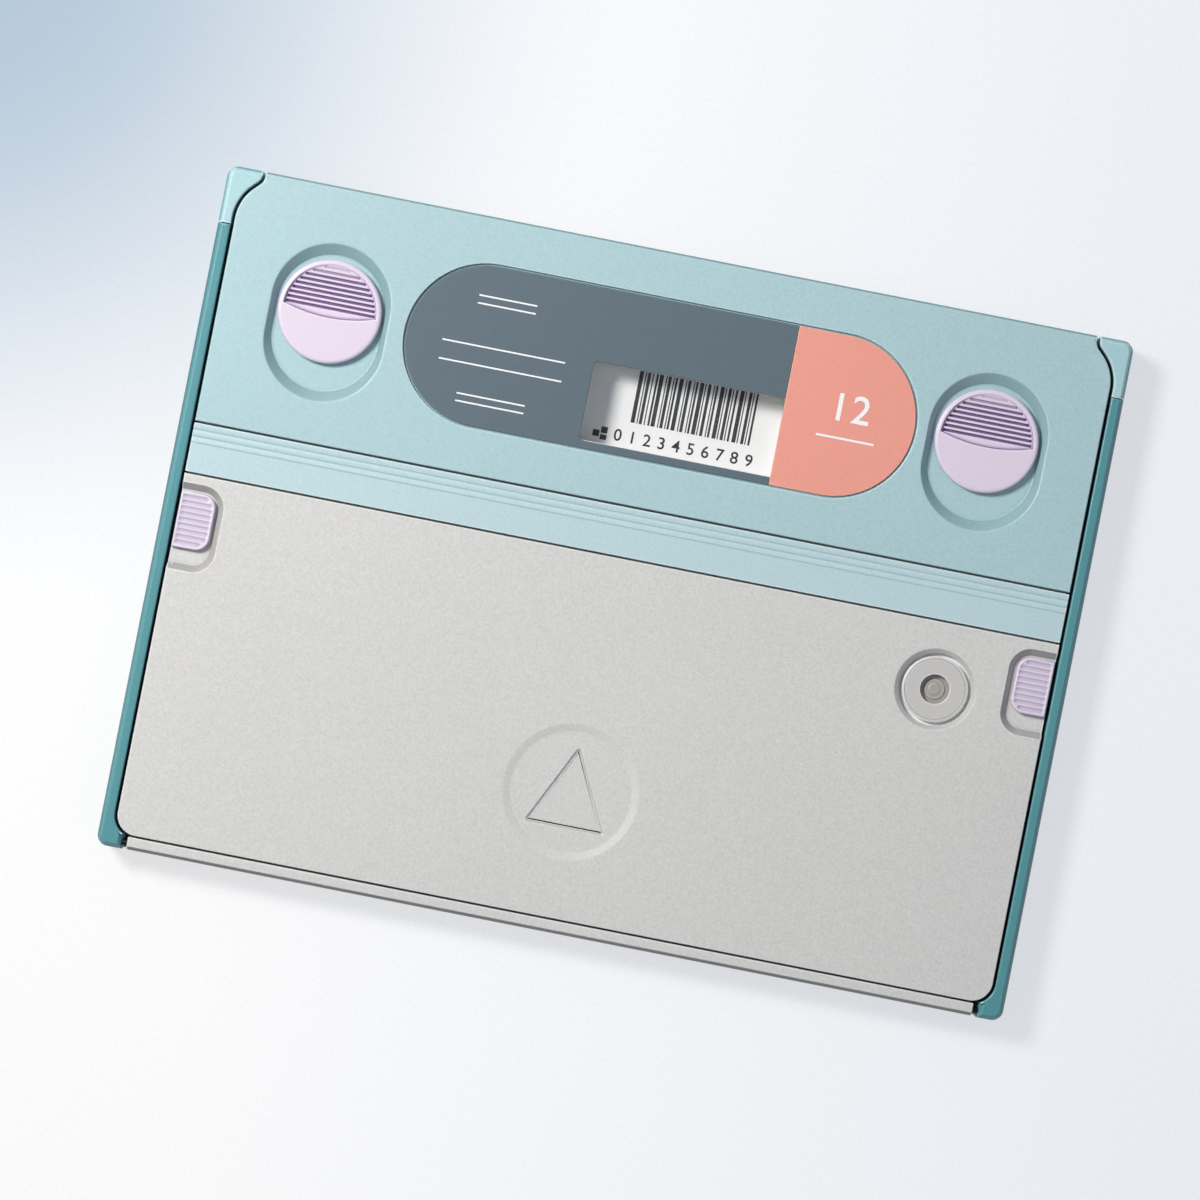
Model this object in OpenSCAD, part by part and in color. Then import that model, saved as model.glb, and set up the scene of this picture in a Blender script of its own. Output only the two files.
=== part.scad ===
/* [Case] */
// Length of the closed case, left to right
case_len = 266; // [262:1:290]
// Width of the closed case, hinge edge to latch edge
case_wid = 199.5; // [197:0.5:220]
// Thickness of the closed case
case_t = 15; // [14:0.25:20]
// Corner radius of the case, seen from above
corner_r = 3.2; // [2:0.1:5]
// Chamfer on the long outer edges of the rails
rail_chamfer = 1.2; // [0.5:0.1:1.6]

/* [Rails and caps] */
// Width of a side rail
rail_w = 3.8; // [3.4:0.1:5]
// How far the rails stay below the lid's face
rail_drop = 0.4; // [0.2:0.1:1]
// How far the corner caps stay below the lid's face
cap_drop = 0.2; // [0.1:0.1:0.6]
// Gap between the lid and the rails and caps
rail_gap = 0.9; // [0.6:0.1:1.2]
// Length of a corner cap along the side
cap_len = 17; // [16:0.5:24]
// Thickness of the flange that each rail puts under the tray
flange_t = 1.2; // [0.8:0.1:1.5]
// Width of that flange
flange_w = 5; // [4.6:0.1:5.4]

/* [Plate and pocket] */
// Wall between the plate's pocket and the side keepers
rim_side = 1.7; // [1.5:0.1:8]
// Wall between the plate's pocket and the latch keepers
rim_end = 3.85; // [1.5:0.05:8]
// Thickness of the imaging plate
plate_t = 0.9; // [0.5:0.1:1.5]
// Play of the plate in its pocket, on each side
plate_play = 1.5; // [0.5:0.1:1.5]
// Thickness of the entrance sheet on the tube side
sheet_t = 1.5; // [1:0.1:2]
// Thickness of the felt that the plate lies on
felt_t = 0.3; // [0.2:0.05:0.4]
// Ledge that the entrance sheet is bonded to
sheet_ledge = 2.3; // [1.5:0.1:2.4]
// Thickness of the barcode label on the plate
label_paper_t = 0.1; // [0.1:0.05:0.2]

/* [Lid stack] */
// Thickness of the moulded skins
skin_t = 1.8; // [1.4:0.1:2.2]
// Thickness of the skins' side walls
wall_t = 1.2; // [0.8:0.1:1.2]
// Width of the seams between the skins
seam = 0.5; // [0.3:0.1:0.8]
// Thickness of the lid's inner pan
pan_t = 1; // [0.8:0.1:1.5]
// Thickness of the shielding foil
foil_t = 0.3; // [0.2:0.05:0.4]
// Gap between the closed lid and the tray's rim
lid_gap = 0.3; // [0.3:0.1:0.6]
// Gap between the pressure pad and the plate
pad_gap = 0.4; // [0.3:0.1:0.8]
// Space around the pressure pad in the pocket
pad_inset = 3.5; // [3:0.5:6]

/* [Seams on the face] */
// Depth of the teal cover, from the latch edge
cover_depth = 74.35; // [72:0.05:80]
// Depth of the ridged strip
strip_depth = 14.8; // [12:0.2:20]
// Width of the hinge spine
spine_w = 3.75; // [3.6:0.05:5]
// Corner radius of the back panel at the hinge edge
panel_r = 6; // [4:0.5:8]

/* [Hinge] */
// Depth of the hinge axis below the lid's face
hinge_drop = 2.6; // [2.4:0.1:3.5]
// Height of the hinge spine
spine_h = 7; // [6.4:0.1:7.4]
// Radius of the hinge pins
pin_r = 1; // [0.8:0.1:1.2]
// Length of a hinge pin
pin_len = 9.5; // [8:0.5:11]
// Running play around the hinge pins
pin_play = 0.05; // [0.02:0.01:0.1]
// Inner width of a corner foot beyond its rail
foot_w = 3.75; // [3:0.25:6]
// Gap between the spine and each foot
spine_gap = 1.45; // [1:0.05:2]

/* [Knobs] */
// Radius of the round knobs
knob_r = 15; // [13:0.5:16]
// Distance of the knobs from the sides of the case
knob_side = 36.6; // [33:0.1:40]
// Distance of the knobs from the latch edge
knob_inset = 36.1; // [35.6:0.1:37.5]
// Travel of the knobs towards the hinge
knob_travel = 6.5; // [5:0.5:7]
// Depth of the knob recesses
knob_depth = 3.1; // [2.9:0.1:4]
// How far the knobs stay below the face
knob_drop = 0.3; // [0:0.1:0.6]
// Number of thumb grooves in a knob
knob_grooves = 9; // [6:1:9]
// Pitch of the thumb grooves
groove_pitch = 1.45; // [1.2:0.05:1.5]

/* [Side buttons] */
// Length of a side button along its travel
button_len = 16.4; // [14:0.2:18]
// Width of a side button
button_w = 10.5; // [9.5:0.5:12]
// Travel of the side buttons towards the hinge
button_travel = 4; // [3:0.5:5]
// Distance of the side buttons from the strip's seam
button_seam = 5.05; // [4:0.05:9]
// Depth of the side button recesses
button_depth = 2.4; // [2:0.1:2.4]
// Number of ribs on a side button
button_ribs = 9; // [6:1:9]

/* [Latches] */
// Thickness of the sliding bolts
bolt_t = 1.2; // [1:0.1:1.5]
// Play above and below a bolt
slide_gap = 0.2; // [0.15:0.05:0.3]
// How far a bolt reaches into its keeper
bolt_bite = 1.5; // [1:0.1:2]
// Width of a knob's bolt
bolt_w = 12; // [10:0.5:13]
// Thickness of the steel keepers
keeper_t = 2.4; // [2:0.1:2.6]
// Width of a keeper's posts
keeper_post = 0.9; // [0.7:0.1:1]

/* [Label] */
// Distance from a knob's middle to the label's round end
label_knob = 21.85; // [20.5:0.05:26]
// How far the label's middle line lies below the knobs
label_drop = 1.15; // [-2:0.05:3]
// Width of the label
label_wid = 46.6; // [44:0.2:48]
// Thickness of the label
label_t = 0.6; // [0.4:0.1:0.8]
// Length of the salmon size tag
tag_len = 38.2; // [30:0.1:45]
// Length of the window
window_len = 56.1; // [50:0.1:60]
// Width of the window
window_wid = 23.2; // [20:0.1:26]

/* [Release port] */
// Distance of the port from the right side of the case
port_side = 37.4; // [34:0.1:60]
// Distance of the port from the strip's seam
port_seam = 19.45; // [14:0.05:40]
// Radius of the port's disc
port_r = 10; // [9:0.1:11]
// Radius of the port's bore
bore_r = 4.2; // [3.5:0.1:5]
// Travel of the plunger
plunger_travel = 1; // [0.6:0.1:1.2]

/* [Centre mark] */
// Outer radius of the dished mark
dish_r = 19.6; // [15:0.1:24]
// Distance of the mark's middle from the hinge edge
dish_edge = 41.15; // [30:0.05:60]
// Width of the triangle in the dish
triangle_w = 23.6; // [18:0.1:24]
// Height of the triangle in the dish
triangle_h = 24.2; // [18:0.1:25]
// How far the triangle's base lies below the dish's middle
triangle_low = 10.6; // [8:0.1:12]

/* [Hidden] */

$fn = 64;
// Overlap that lets a cut run past a face
cut = 1;
// Depth to which a joined shape runs into its neighbour
root = 0.2;

// Plan of the case, from its middle
half_len = case_len / 2;
half_wid = case_wid / 2;
lid_half = half_len - rail_w - rail_gap;
frame_half = half_len - rail_w;
edge_set = 0.2;
lid_front = half_wid - edge_set;
lid_back = -half_wid + edge_set;
spine_front = lid_back + spine_w;
panel_back = spine_front + seam;
cover_back = lid_front - cover_depth + seam / 2;
strip_front = cover_back - seam;
panel_front = strip_front - strip_depth;
strip_back = panel_front + seam;
skirt_t = 1.6;
skirt_in = lid_front - skirt_t;
frame_front = skirt_in - 0.8;
frame_back = panel_back + seam;

// Heights of the lid's layers, from the face down
z_skin = case_t - skin_t;
z_knob_floor = case_t - knob_depth;
cup_t = 1;
cup_rim = 1;
z_bolt_top = z_knob_floor - cup_t - slide_gap;
z_bolt = z_bolt_top - bolt_t;
z_pan_top = z_bolt - slide_gap;
z_pan = z_pan_top - pan_t;
z_rim = z_pan - lid_gap;
z_foil = z_pan - foil_t;
z_plate = sheet_t + felt_t;
z_plate_top = z_plate + plate_t;
z_pad = z_plate_top + pad_gap;
z_rail = case_t - rail_drop;
z_cap = case_t - cap_drop;

// Tray
bond_gap = 0.2;
lip_h = 4.6;
lip_out = half_wid - 0.45;
skirt_z = lip_h + 0.4;
seal_in = 0.3;
seal_w = 0.8;
seal_t = 1.1;

// Hinge
z_hinge = case_t - hinge_drop;
hinge_y = lid_back + spine_w / 2;
spine_half = frame_half - foot_w - spine_gap;
z_spine = case_t - spine_h;
sweep_r = sqrt(pow(spine_w / 2, 2) + pow(spine_h - hinge_drop, 2)) + 0.3;
ledge_h = z_hinge - sweep_r;
panel_corner_x = lid_half - panel_r;
panel_corner_y = panel_back + panel_r;
foot_in = frame_half - foot_w;
foot_arc_r = panel_r + rail_gap;
foot_angle = acos((foot_in - panel_corner_x) / foot_arc_r);
foot_bevel = 0.5;
tongue_t = 1.2;
tongue_len = 11.75;
tongue_play = 0.2;
tongue_half = spine_half - 6;

// Gap between the lid and a corner cap, along its middle line, at the left corner
gap_x = lid_half + rail_gap / 2;
bend_r = 13.4;
neck_r = 3;
neck_x = half_len - 10.55;
bend_y = half_wid - 14.65;
bend_turn = 45;
bend_cx = -gap_x + bend_r;
neck_cx = -neck_x - neck_r;
neck_cy = neck_cx + 2 * neck_r * sin(bend_turn) - bend_cx + bend_y + 2 * bend_r * sin(bend_turn);

// Knobs
knob_x = half_len - knob_side;
knob_y = half_wid - knob_inset;
knob_side_gap = 0.5;
knob_end_gap = 1.5;
knob_slope_side = 1.8;
knob_slope_end = 3.1;
recess_mid = knob_y - knob_travel / 2;
floor_hx = knob_r + knob_side_gap;
floor_hy = knob_r + knob_end_gap + knob_travel / 2;
z_knob = z_knob_floor + slide_gap;
z_knob_top = case_t - knob_drop;
stem_r = 2.3;
stem_play = 0.3;
knob_lip = 1.4;
smile_r = 44.4;
smile_low = 1.9;
screw_r = 0.8;

// Side buttons
button_y = panel_front - button_seam - button_len / 2;
button_out = lid_half - 0.2;
button_in = button_out - button_w;
z_button_floor = case_t - button_depth;
z_button = z_button_floor + slide_gap;
z_button_top = case_t - 0.2;
button_floor_gap = 0.55;
button_slope = 1.7;
button_r = 4;
rib_pitch = (button_len - 1.8) / button_ribs;
button_stem_x = button_in + 5.4;
button_stem_r = 1.8;
rivet_r = 1.2;

// Bolts and keepers
front_keeper_y = frame_front - 0.4 - keeper_t;
bolt_tip = front_keeper_y + bolt_bite;
bolt_tail = knob_y - 19.6;
window_play = 0.2;
keeper_bridge = 1.5;
keeper_root = 3.5;
side_keeper_y = strip_back + wall_t + 1.35;
side_tip = side_keeper_y + bolt_bite;
side_bolt_in = button_in + 2.4;
side_bolt_out = lid_half - wall_t - 0.3;
tongue_w = 2.3;
side_keeper_out = side_bolt_out - 0.1;
side_keeper_in = side_keeper_out - tongue_w - 2 * (window_play + keeper_post);
side_tongue_x = (side_keeper_in + side_keeper_out) / 2;
guide_t = 1;
guide_play = 0.3;
notch_gap = 0.8;

// Pocket, plate and sheet
pocket_x = side_keeper_in - rim_side;
pocket_y = front_keeper_y - rim_end;
plate_len = 2 * (pocket_x - plate_play);
plate_wid = 2 * (pocket_y - plate_play);
sheet_x = pocket_x + sheet_ledge;
sheet_y = pocket_y + sheet_ledge;

// Springs
wire_r = 0.2;
coil_r = 1.2;
stub_r = 0.7;
arm_w = 2;
tab_t = 1;
tab_w = 3.2;
stub_len = 1.5;
spring_seat_y = cover_back + wall_t;
knob_spring_x = floor_hx + knob_slope_side + cup_rim + 0.6 + coil_r + wire_r;
spring_z = (z_pan_top + z_skin) / 2;
guide_low = bolt_tail + arm_w + 0.6 - recess_mid;
recess_low = button_y - button_len / 2 - button_travel - button_floor_gap;
side_tab_y = recess_low - button_slope - 2;
side_spring_len = 8.4;
side_spring_x = (side_bolt_in + side_bolt_out) / 2;
side_seat_y = side_tab_y - tab_t - side_spring_len;
seat_t = 1.2;
seat_w = 6;

// Label and window
label_mid = 0.85;
label_len = 2 * (knob_x - label_knob);
label_y = knob_y - label_drop;
label_gap = 0.5;
label_face = 0.3;
z_label = case_t - label_face - label_t;
tag_x = label_mid + label_len / 2 - tag_len;
tag_gap = 0.1;
window_x = tag_x - window_len;
window_edge = 2.2;
window_low = label_y - label_wid / 2 + window_edge;
window_top = window_low + window_wid;
shroud_wall = 1.2;
shroud_lap = 0.4;
lens_t = z_label - z_skin;
shroud_x0 = window_x - shroud_lap;
shroud_x1 = tag_x + shroud_lap + 1;
shroud_y0 = window_low - shroud_lap;
shroud_y1 = window_top + shroud_lap;
sticker_x0 = window_x + 1.2;
sticker_x1 = tag_x + 14;
sticker_y0 = window_low - 6;
sticker_y1 = window_top - 4.6;
code_x0 = window_x + 13.2;
code_x1 = window_x + 49.2;
code_y0 = window_low + 8.2;
code_y1 = window_top + 4;
code_edge = 0.7;

// Port
port_x = half_len - port_side;
port_y = panel_front - port_seam;
port_play = 0.3;
port_bevel = 1.3;
port_bevel_t = 1;
z_port = case_t - port_bevel_t - 0.1;
port_disc_t = 1.6;
z_disc = z_port - port_disc_t;
port_wall = 2.6;
flange_h = 1;
flange_lap = 1.4;
collar_play = 0.06;
collar_r = port_r - 0.4 - port_wall - collar_play;
stop_t = 0.6;
collar_t = 0.7;
z_collar = z_disc - stop_t - 0.1 - collar_t;
stud_r = 2.9;
tip_r = 1.6;

// Centre mark
dish_wall = 2;
dish_t = 0.5;
triangle_t = 0.5;
dish_x = -1.5;
dish_y = -half_wid + dish_edge;

// Screws
rim_screw_x = frame_half - flange_w / 2;
cap_low = half_wid - cap_len + seam / 2;
rail_top = half_wid - cap_len - seam / 2;
rail_screw_count = 5;
rail_screw_low = frame_back + 6.75;
rail_screw_high = rail_top - 10.5;
rail_screw_step = (rail_screw_high - rail_screw_low) / (rail_screw_count - 1);
cap_screw_y = cap_low + 7;
rim_screw_y = concat([for (i = [0:rail_screw_count - 1]) rail_screw_low + i * rail_screw_step], [cap_screw_y]);
rim_screw_len = 6;
shank_r = 1;
head_r = 1.9;
boss_r = 2.2;
lid_screw_inset = 5.2;
lid_screw_x = lid_half - lid_screw_inset;
strip_screw_inset = 9;
strip_screw_x = lid_half - strip_screw_inset;
seam_to_screw = 19.5;
latch_to_screw = 24.5;
cover_screw_y = [cover_back + seam_to_screw, lid_front - latch_to_screw];
seat_to_screw = 15;
hinge_to_screw = 21.5;
panel_screw_y = [side_seat_y - seat_to_screw, lid_back + hinge_to_screw];
lid_screw_len = 4.4;
knob_to_screw = 36.4;
front_screw_x = [-knob_x + knob_to_screw, 0, knob_x - knob_to_screw];
front_screw_inset = 8.2;
front_screw_y = lid_front - front_screw_inset;
hinge_screw_end = 24;
hinge_screw_step = (spine_half - hinge_screw_end) / 2;
hinge_screw_inset = 5.45;
hinge_screw_y = panel_back + hinge_screw_inset;

function arc(cx, cy, r, a0, a1, n = 10) =
    [for (i = [0:n]) [cx + r * cos(a0 + (a1 - a0) * i / n), cy + r * sin(a0 + (a1 - a0) * i / n)]];
function flip(points) = [for (i = [len(points) - 1:-1:0]) [-points[i][0], points[i][1]]];

// Left corner curve, moved by d to the lid's side of the gap's middle line
function corner_curve(d) = concat(
    arc(bend_cx, bend_y, bend_r - d, 180, 180 - bend_turn),
    arc(neck_cx, neck_cy, neck_r + d, -bend_turn, 0, 6));

// Plan of the teal cover, taken in by d
function cover_plan(d) = let (left = concat(
    [[-lid_half + d, cover_back + d]],
    corner_curve(rail_gap / 2 + d),
    [[-neck_x + rail_gap / 2 + d, lid_front - d]])) concat(left, flip(left));

// Plan of the back panel, taken in by d
function panel_plan(d) = let (right = concat(
    arc(panel_corner_x, panel_corner_y, panel_r - d, -90, 0),
    [[lid_half - d, panel_front - d]])) concat(right, flip(right));

// Plan of the whole lid behind the spine, taken in by d
function lid_plan(d) = let (left = concat(
    [[-lid_half + d, panel_corner_y]],
    corner_curve(rail_gap / 2 + d),
    [[-neck_x + rail_gap / 2 + d, lid_front]])) concat(
    left, flip(left), arc(panel_corner_x, panel_corner_y, panel_r - d, 0, -90),
    arc(-panel_corner_x, panel_corner_y, panel_r - d, -90, -180));

module plate(points, z0, z1) {
    translate([0, 0, z0])
        linear_extrude(z1 - z0)
            polygon(points);
}

module box(x0, x1, y0, y1, z0, z1) {
    translate([x0, y0, z0])
        cube([x1 - x0, y1 - y0, z1 - z0]);
}

// Flat block with half sizes hx and hy
module slab(hx, hy, z0, z1) {
    box(-hx, hx, -hy, hy, z0, z1);
}

// Prism along X with its outline given as [y, z] points
module prism_x(length, points) {
    rotate([90, 0, 90])
        linear_extrude(length, center = true)
            polygon(points);
}

// Prism along Y with its outline given as [x, z] points
module prism_y(length, points) {
    rotate([90, 0, 0])
        linear_extrude(length, center = true)
            polygon(points);
}

// Upright slab with round ends, half sizes hx and hy
module pill(hx, hy, z0, z1) {
    r = min(hx, hy);
    for (side = [-1, 1])
        translate([side * (hx - r), side * (hy - r), z0])
            cylinder(r = r, h = z1 - z0);
    if (hx > hy)
        box(-hx + r, hx - r, -hy, hy, z0, z1);
    if (hy > hx)
        box(-hx, hx, -hy + r, hy - r, z0, z1);
}

// Recess with round ends and sloped walls, floor half sizes hx and hy
module sloped_recess(hx, hy, slope_x, slope_y, z0, z1) {
    hull() {
        pill(hx, hy, z0, z0 + 0.01);
        pill(hx + slope_x, hy + slope_y, z1, z1 + 0.01);
    }
    pill(hx + slope_x, hy + slope_y, z1, z1 + cut);
}

// Screw that points up, with its flat head at z0
module screw(x, y, z0, length) {
    translate([x, y, z0]) {
        cylinder(r = shank_r, h = length);
        cylinder(r1 = head_r, r2 = shank_r, h = head_r - shank_r);
    }
}

// Hole for such a screw
module screw_hole(x, y, z0, length) {
    translate([x, y, z0]) {
        cylinder(r = shank_r, h = length);
        cylinder(r1 = head_r, r2 = shank_r, h = head_r - shank_r);
        translate([0, 0, -cut])
            cylinder(r = head_r, h = cut);
    }
}

// Pilot hole for a lid screw in what lies on the pan
module screw_pilot() {
    translate([0, 0, z_pan_top - cut])
        cylinder(r = shank_r, h = z_pan + lid_screw_len - z_pan_top + cut);
}

// Screw boss that hangs from a skin
module boss(x, y, z1) {
    translate([x, y, z_pan_top])
        cylinder(r = boss_r, h = z1 + root - z_pan_top);
}

module rim_screw_places() {
    for (side = [-1, 1], y = rim_screw_y)
        translate([side * rim_screw_x, y, 0])
            children();
}

module lid_screw_places() {
    for (side = [-1, 1], y = concat(cover_screw_y, panel_screw_y))
        translate([side * lid_screw_x, y, 0])
            children();
    for (side = [-1, 1])
        translate([side * strip_screw_x, (strip_front + strip_back) / 2, 0])
            children();
    for (x = front_screw_x)
        translate([x, front_screw_y, 0])
            children();
}

module hinge_screw_places() {
    for (i = [-2:2])
        translate([i * hinge_screw_step, hinge_screw_y, 0])
            children();
}

// Space that the tray frame's block takes from the rails and caps
module frame_block() {
    box(-frame_half, frame_half, frame_back, frame_front, -cut, z_rim);
}

module keeper_socket(x, y, w) {
    box(x - w / 2, x + w / 2, y, y + keeper_t, z_rim - keeper_root, z_rim + cut);
}

module side_flange(y0, y1) {
    box(-frame_half, -frame_half + flange_w, y0, y1, 0, flange_t);
}

module tray_frame() {
    color("#1d2023")
        difference() {
            union() {
                box(-frame_half, frame_half, frame_back, frame_front, 0, z_rim);
                box(-neck_x + 0.1, neck_x - 0.1, frame_front - cut, lip_out, 0, lip_h);
                box(-foot_in + 0.2, foot_in - 0.2, lid_back + 0.2, frame_back + cut, 0, ledge_h);
            }
            slab(pocket_x, pocket_y, sheet_t, z_rim + cut);
            slab(sheet_x + bond_gap, sheet_y + bond_gap, -cut, sheet_t);
            slab(pocket_x, pocket_y, -cut, case_t);
            for (side = [0, 1])
                mirror([side, 0, 0])
                    box(-frame_half - cut, -frame_half + flange_w, frame_back - cut, frame_front + cut,
                        -cut, flange_t);
            difference() {
                slab(pocket_x + seal_in + seal_w, pocket_y + seal_in + seal_w, z_rim - seal_t + 0.1, z_rim + cut);
                slab(pocket_x + seal_in, pocket_y + seal_in, 0, case_t);
            }
            for (side = [-1, 1]) {
                keeper_socket(side * knob_x, front_keeper_y, front_keeper_w());
                keeper_socket(side * side_tongue_x, side_keeper_y, side_keeper_w());
            }
            rim_screw_places()
                screw_hole(0, 0, 0, rim_screw_len);
        }
}

function front_keeper_w() = bolt_w + 2 * (window_play + 2 * keeper_post);
function side_keeper_w() = tongue_w + 2 * (window_play + keeper_post);

module front_sheet() {
    color("#c9ccc8")
        slab(sheet_x, sheet_y, 0, sheet_t);
}

// Left rail with its foot, without the space that the frame takes
module rail() {
    plan = concat(
        [[-half_len, rail_top]],
        arc(-half_len + corner_r, -half_wid + corner_r, corner_r, 180, 270),
        [[-foot_in, -half_wid]],
        arc(-panel_corner_x, panel_corner_y, foot_arc_r, 180 + foot_angle, 180),
        [[-frame_half, rail_top]]);
    difference() {
        union() {
            difference() {
                plate(plan, 0, z_rail);
                frame_block();
            }
            side_flange(frame_back, rail_top);
        }
        translate([-half_len, 0, z_rail])
            rail_bevel(case_wid + cut);
        translate([0, -half_wid, z_rail])
            rotate([0, 0, 90])
                rail_bevel(case_len);
        translate([-panel_corner_x, panel_corner_y, z_rail - foot_bevel])
            cylinder(r1 = foot_arc_r + 0.05, r2 = foot_arc_r + 0.05 + 2 * foot_bevel, h = 2 * foot_bevel);
        translate([-foot_in - pin_len / 2 - 0.75, hinge_y, z_hinge])
            rotate([0, 90, 0])
                cylinder(r = pin_r, h = pin_len);
        for (y = rim_screw_y)
            screw_hole(-rim_screw_x, y, 0, rim_screw_len);
    }
}

// Cutter for the long chamfers, running along Y at the outer top edge
module rail_bevel(length) {
    bevel_drop = 2;
    prism_y(length, [[-cut, cut], [-cut, -bevel_drop - cut], [0, -bevel_drop], [rail_chamfer, 0],
        [rail_chamfer, cut]]);
}

module rail_left() {
    color("#5c9ca1")
        rail();
}

module rail_right() {
    color("#5c9ca1")
        mirror([1, 0, 0])
            rail();
}

module corner_cap() {
    plan = concat(
        [[-half_len, cap_low], [-half_len, half_wid - corner_r]],
        arc(-half_len + corner_r, half_wid - corner_r, corner_r, 180, 90),
        [[-neck_x - rail_gap / 2, half_wid]],
        [for (i = [len(corner_curve(-rail_gap / 2)) - 1:-1:0]) corner_curve(-rail_gap / 2)[i]],
        [[-frame_half, cap_low]]);
    difference() {
        union() {
            difference() {
                plate(plan, 0, z_cap);
                frame_block();
            }
            side_flange(cap_low, frame_front);
        }
        translate([-half_len, 0, z_cap])
            rail_bevel(case_wid + cut);
        translate([0, half_wid, z_cap])
            rotate([0, 0, -90])
                rail_bevel(case_len);
        for (y = rim_screw_y)
            screw_hole(-rim_screw_x, y, 0, rim_screw_len);
    }
}

module corner_cap_left() {
    color("#a9cdd2")
        corner_cap();
}

module corner_cap_right() {
    color("#a9cdd2")
        mirror([1, 0, 0])
            corner_cap();
}

// Steel keeper with a window that a bolt slides into
module keeper(x, y, w, window_w) {
    z_top = z_bolt_top + window_play + keeper_bridge;
    color("#b9bdc0")
        difference() {
            box(x - w / 2, x + w / 2, y, y + keeper_t, z_rim - keeper_root, z_top);
            box(x - window_w / 2, x + window_w / 2, y - cut, y + keeper_t + cut,
                z_bolt - window_play, z_bolt_top + window_play);
        }
}

module keeper_front_left() {
    keeper(-knob_x, front_keeper_y, front_keeper_w(), bolt_w + 2 * window_play);
}

module keeper_front_right() {
    keeper(knob_x, front_keeper_y, front_keeper_w(), bolt_w + 2 * window_play);
}

module keeper_side_left() {
    keeper(-side_tongue_x, side_keeper_y, side_keeper_w(), tongue_w + 2 * window_play);
}

module keeper_side_right() {
    keeper(side_tongue_x, side_keeper_y, side_keeper_w(), tongue_w + 2 * window_play);
}

module light_seal() {
    color("#101214")
        difference() {
            slab(pocket_x + seal_in + seal_w, pocket_y + seal_in + seal_w, z_rim - seal_t + 0.1, z_rim + 0.1);
            slab(pocket_x + seal_in, pocket_y + seal_in, 0, case_t);
        }
}

module front_felt() {
    color("#202225")
        slab(pocket_x - bond_gap, pocket_y - bond_gap, sheet_t, z_plate);
}

module imaging_plate() {
    color("#eceeea")
        slab(plate_len / 2, plate_wid / 2, z_plate, z_plate_top);
}

module plate_label() {
    z_label_top = z_plate_top + label_paper_t;
    color("#f2f2f0") {
        box(sticker_x0, sticker_x1, sticker_y0, sticker_y1, z_plate_top, z_label_top);
        box(code_x0 - code_edge, code_x1 + code_edge, sticker_y1, code_y1 + code_edge, z_plate_top, z_label_top);
        box(code_x0, code_x1, code_y0, code_y1, z_label_top, z_label_top + label_paper_t / 2);
    }
}

module hinge_pins() {
    color("#c4c7ca")
        for (side = [-1, 1])
            translate([side * (foot_in + 0.75), hinge_y, z_hinge])
                rotate([0, 90, 0])
                    cylinder(r = pin_r, h = pin_len, center = true);
}

module rim_screws() {
    color("#8f9498")
        rim_screw_places()
            screw(0, 0, 0, rim_screw_len);
}

module lid_pan() {
    color("#b4b8ba")
        difference() {
            plate(lid_plan(0.4), z_pan, z_pan_top);
            box(-half_len, half_len, skirt_in - 0.1, half_wid, z_pan - cut, z_pan_top + cut);
            box(shroud_x0 - shroud_wall, shroud_x1 + shroud_wall, shroud_y0 - shroud_wall,
                shroud_y1 + shroud_wall, z_pan - cut, z_pan_top + cut);
            for (side = [-1, 1]) {
                box(side * knob_x - front_keeper_w() / 2 - notch_gap,
                    side * knob_x + front_keeper_w() / 2 + notch_gap,
                    front_keeper_y - notch_gap, half_wid, z_pan - cut, z_pan_top + cut);
                box(side * side_tongue_x - side_keeper_w() / 2 - notch_gap,
                    side * side_tongue_x + side_keeper_w() / 2 + notch_gap,
                    side_keeper_y - notch_gap, side_keeper_y + keeper_t + notch_gap, z_pan - cut,
                    z_pan_top + cut);
            }
            lid_screw_places()
                screw_hole(0, 0, z_pan, case_t);
            hinge_screw_places()
                screw_hole(0, 0, z_pan, case_t);
        }
}

module shroud_block(grow, z0, z1) {
    box(shroud_x0 - shroud_wall - grow, shroud_x1 + shroud_wall + grow, shroud_y0 - shroud_wall - grow,
        shroud_y1 + shroud_wall + grow, z0, z1);
}

module shield_foil() {
    color("#7d8286")
        difference() {
            slab(pocket_x - pad_inset, pocket_y - pad_inset, z_foil, z_pan);
            shroud_block(0, z_foil - cut, z_pan + cut);
        }
}

module pressure_pad() {
    color("#2b2d30")
        difference() {
            slab(pocket_x - pad_inset, pocket_y - pad_inset, z_pad, z_foil);
            shroud_block(0.2, z_pad - cut, z_foil + cut);
        }
}

module knob_recess() {
    translate([0, recess_mid, 0])
        sloped_recess(floor_hx, floor_hy, knob_slope_side, knob_slope_end, z_knob_floor, case_t);
    hull()
        for (y = [knob_y, knob_y - knob_travel])
            translate([0, y, z_knob_floor - cup_t - cut])
                cylinder(r = stem_r + stem_play, h = cup_t + 2 * cut, $fn = 32);
}

module knob_cup() {
    translate([0, recess_mid, 0])
        pill(floor_hx + knob_slope_side + cup_rim, floor_hy + knob_slope_end + cup_rim, z_knob_floor - cup_t,
            case_t);
    for (side = [-1, 1])
        translate([side * (bolt_w / 2 + guide_play + guide_t / 2), recess_mid, 0])
            box(-guide_t / 2, guide_t / 2, guide_low, floor_hy, z_pan_top + slide_gap, z_knob_floor);
}

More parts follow.
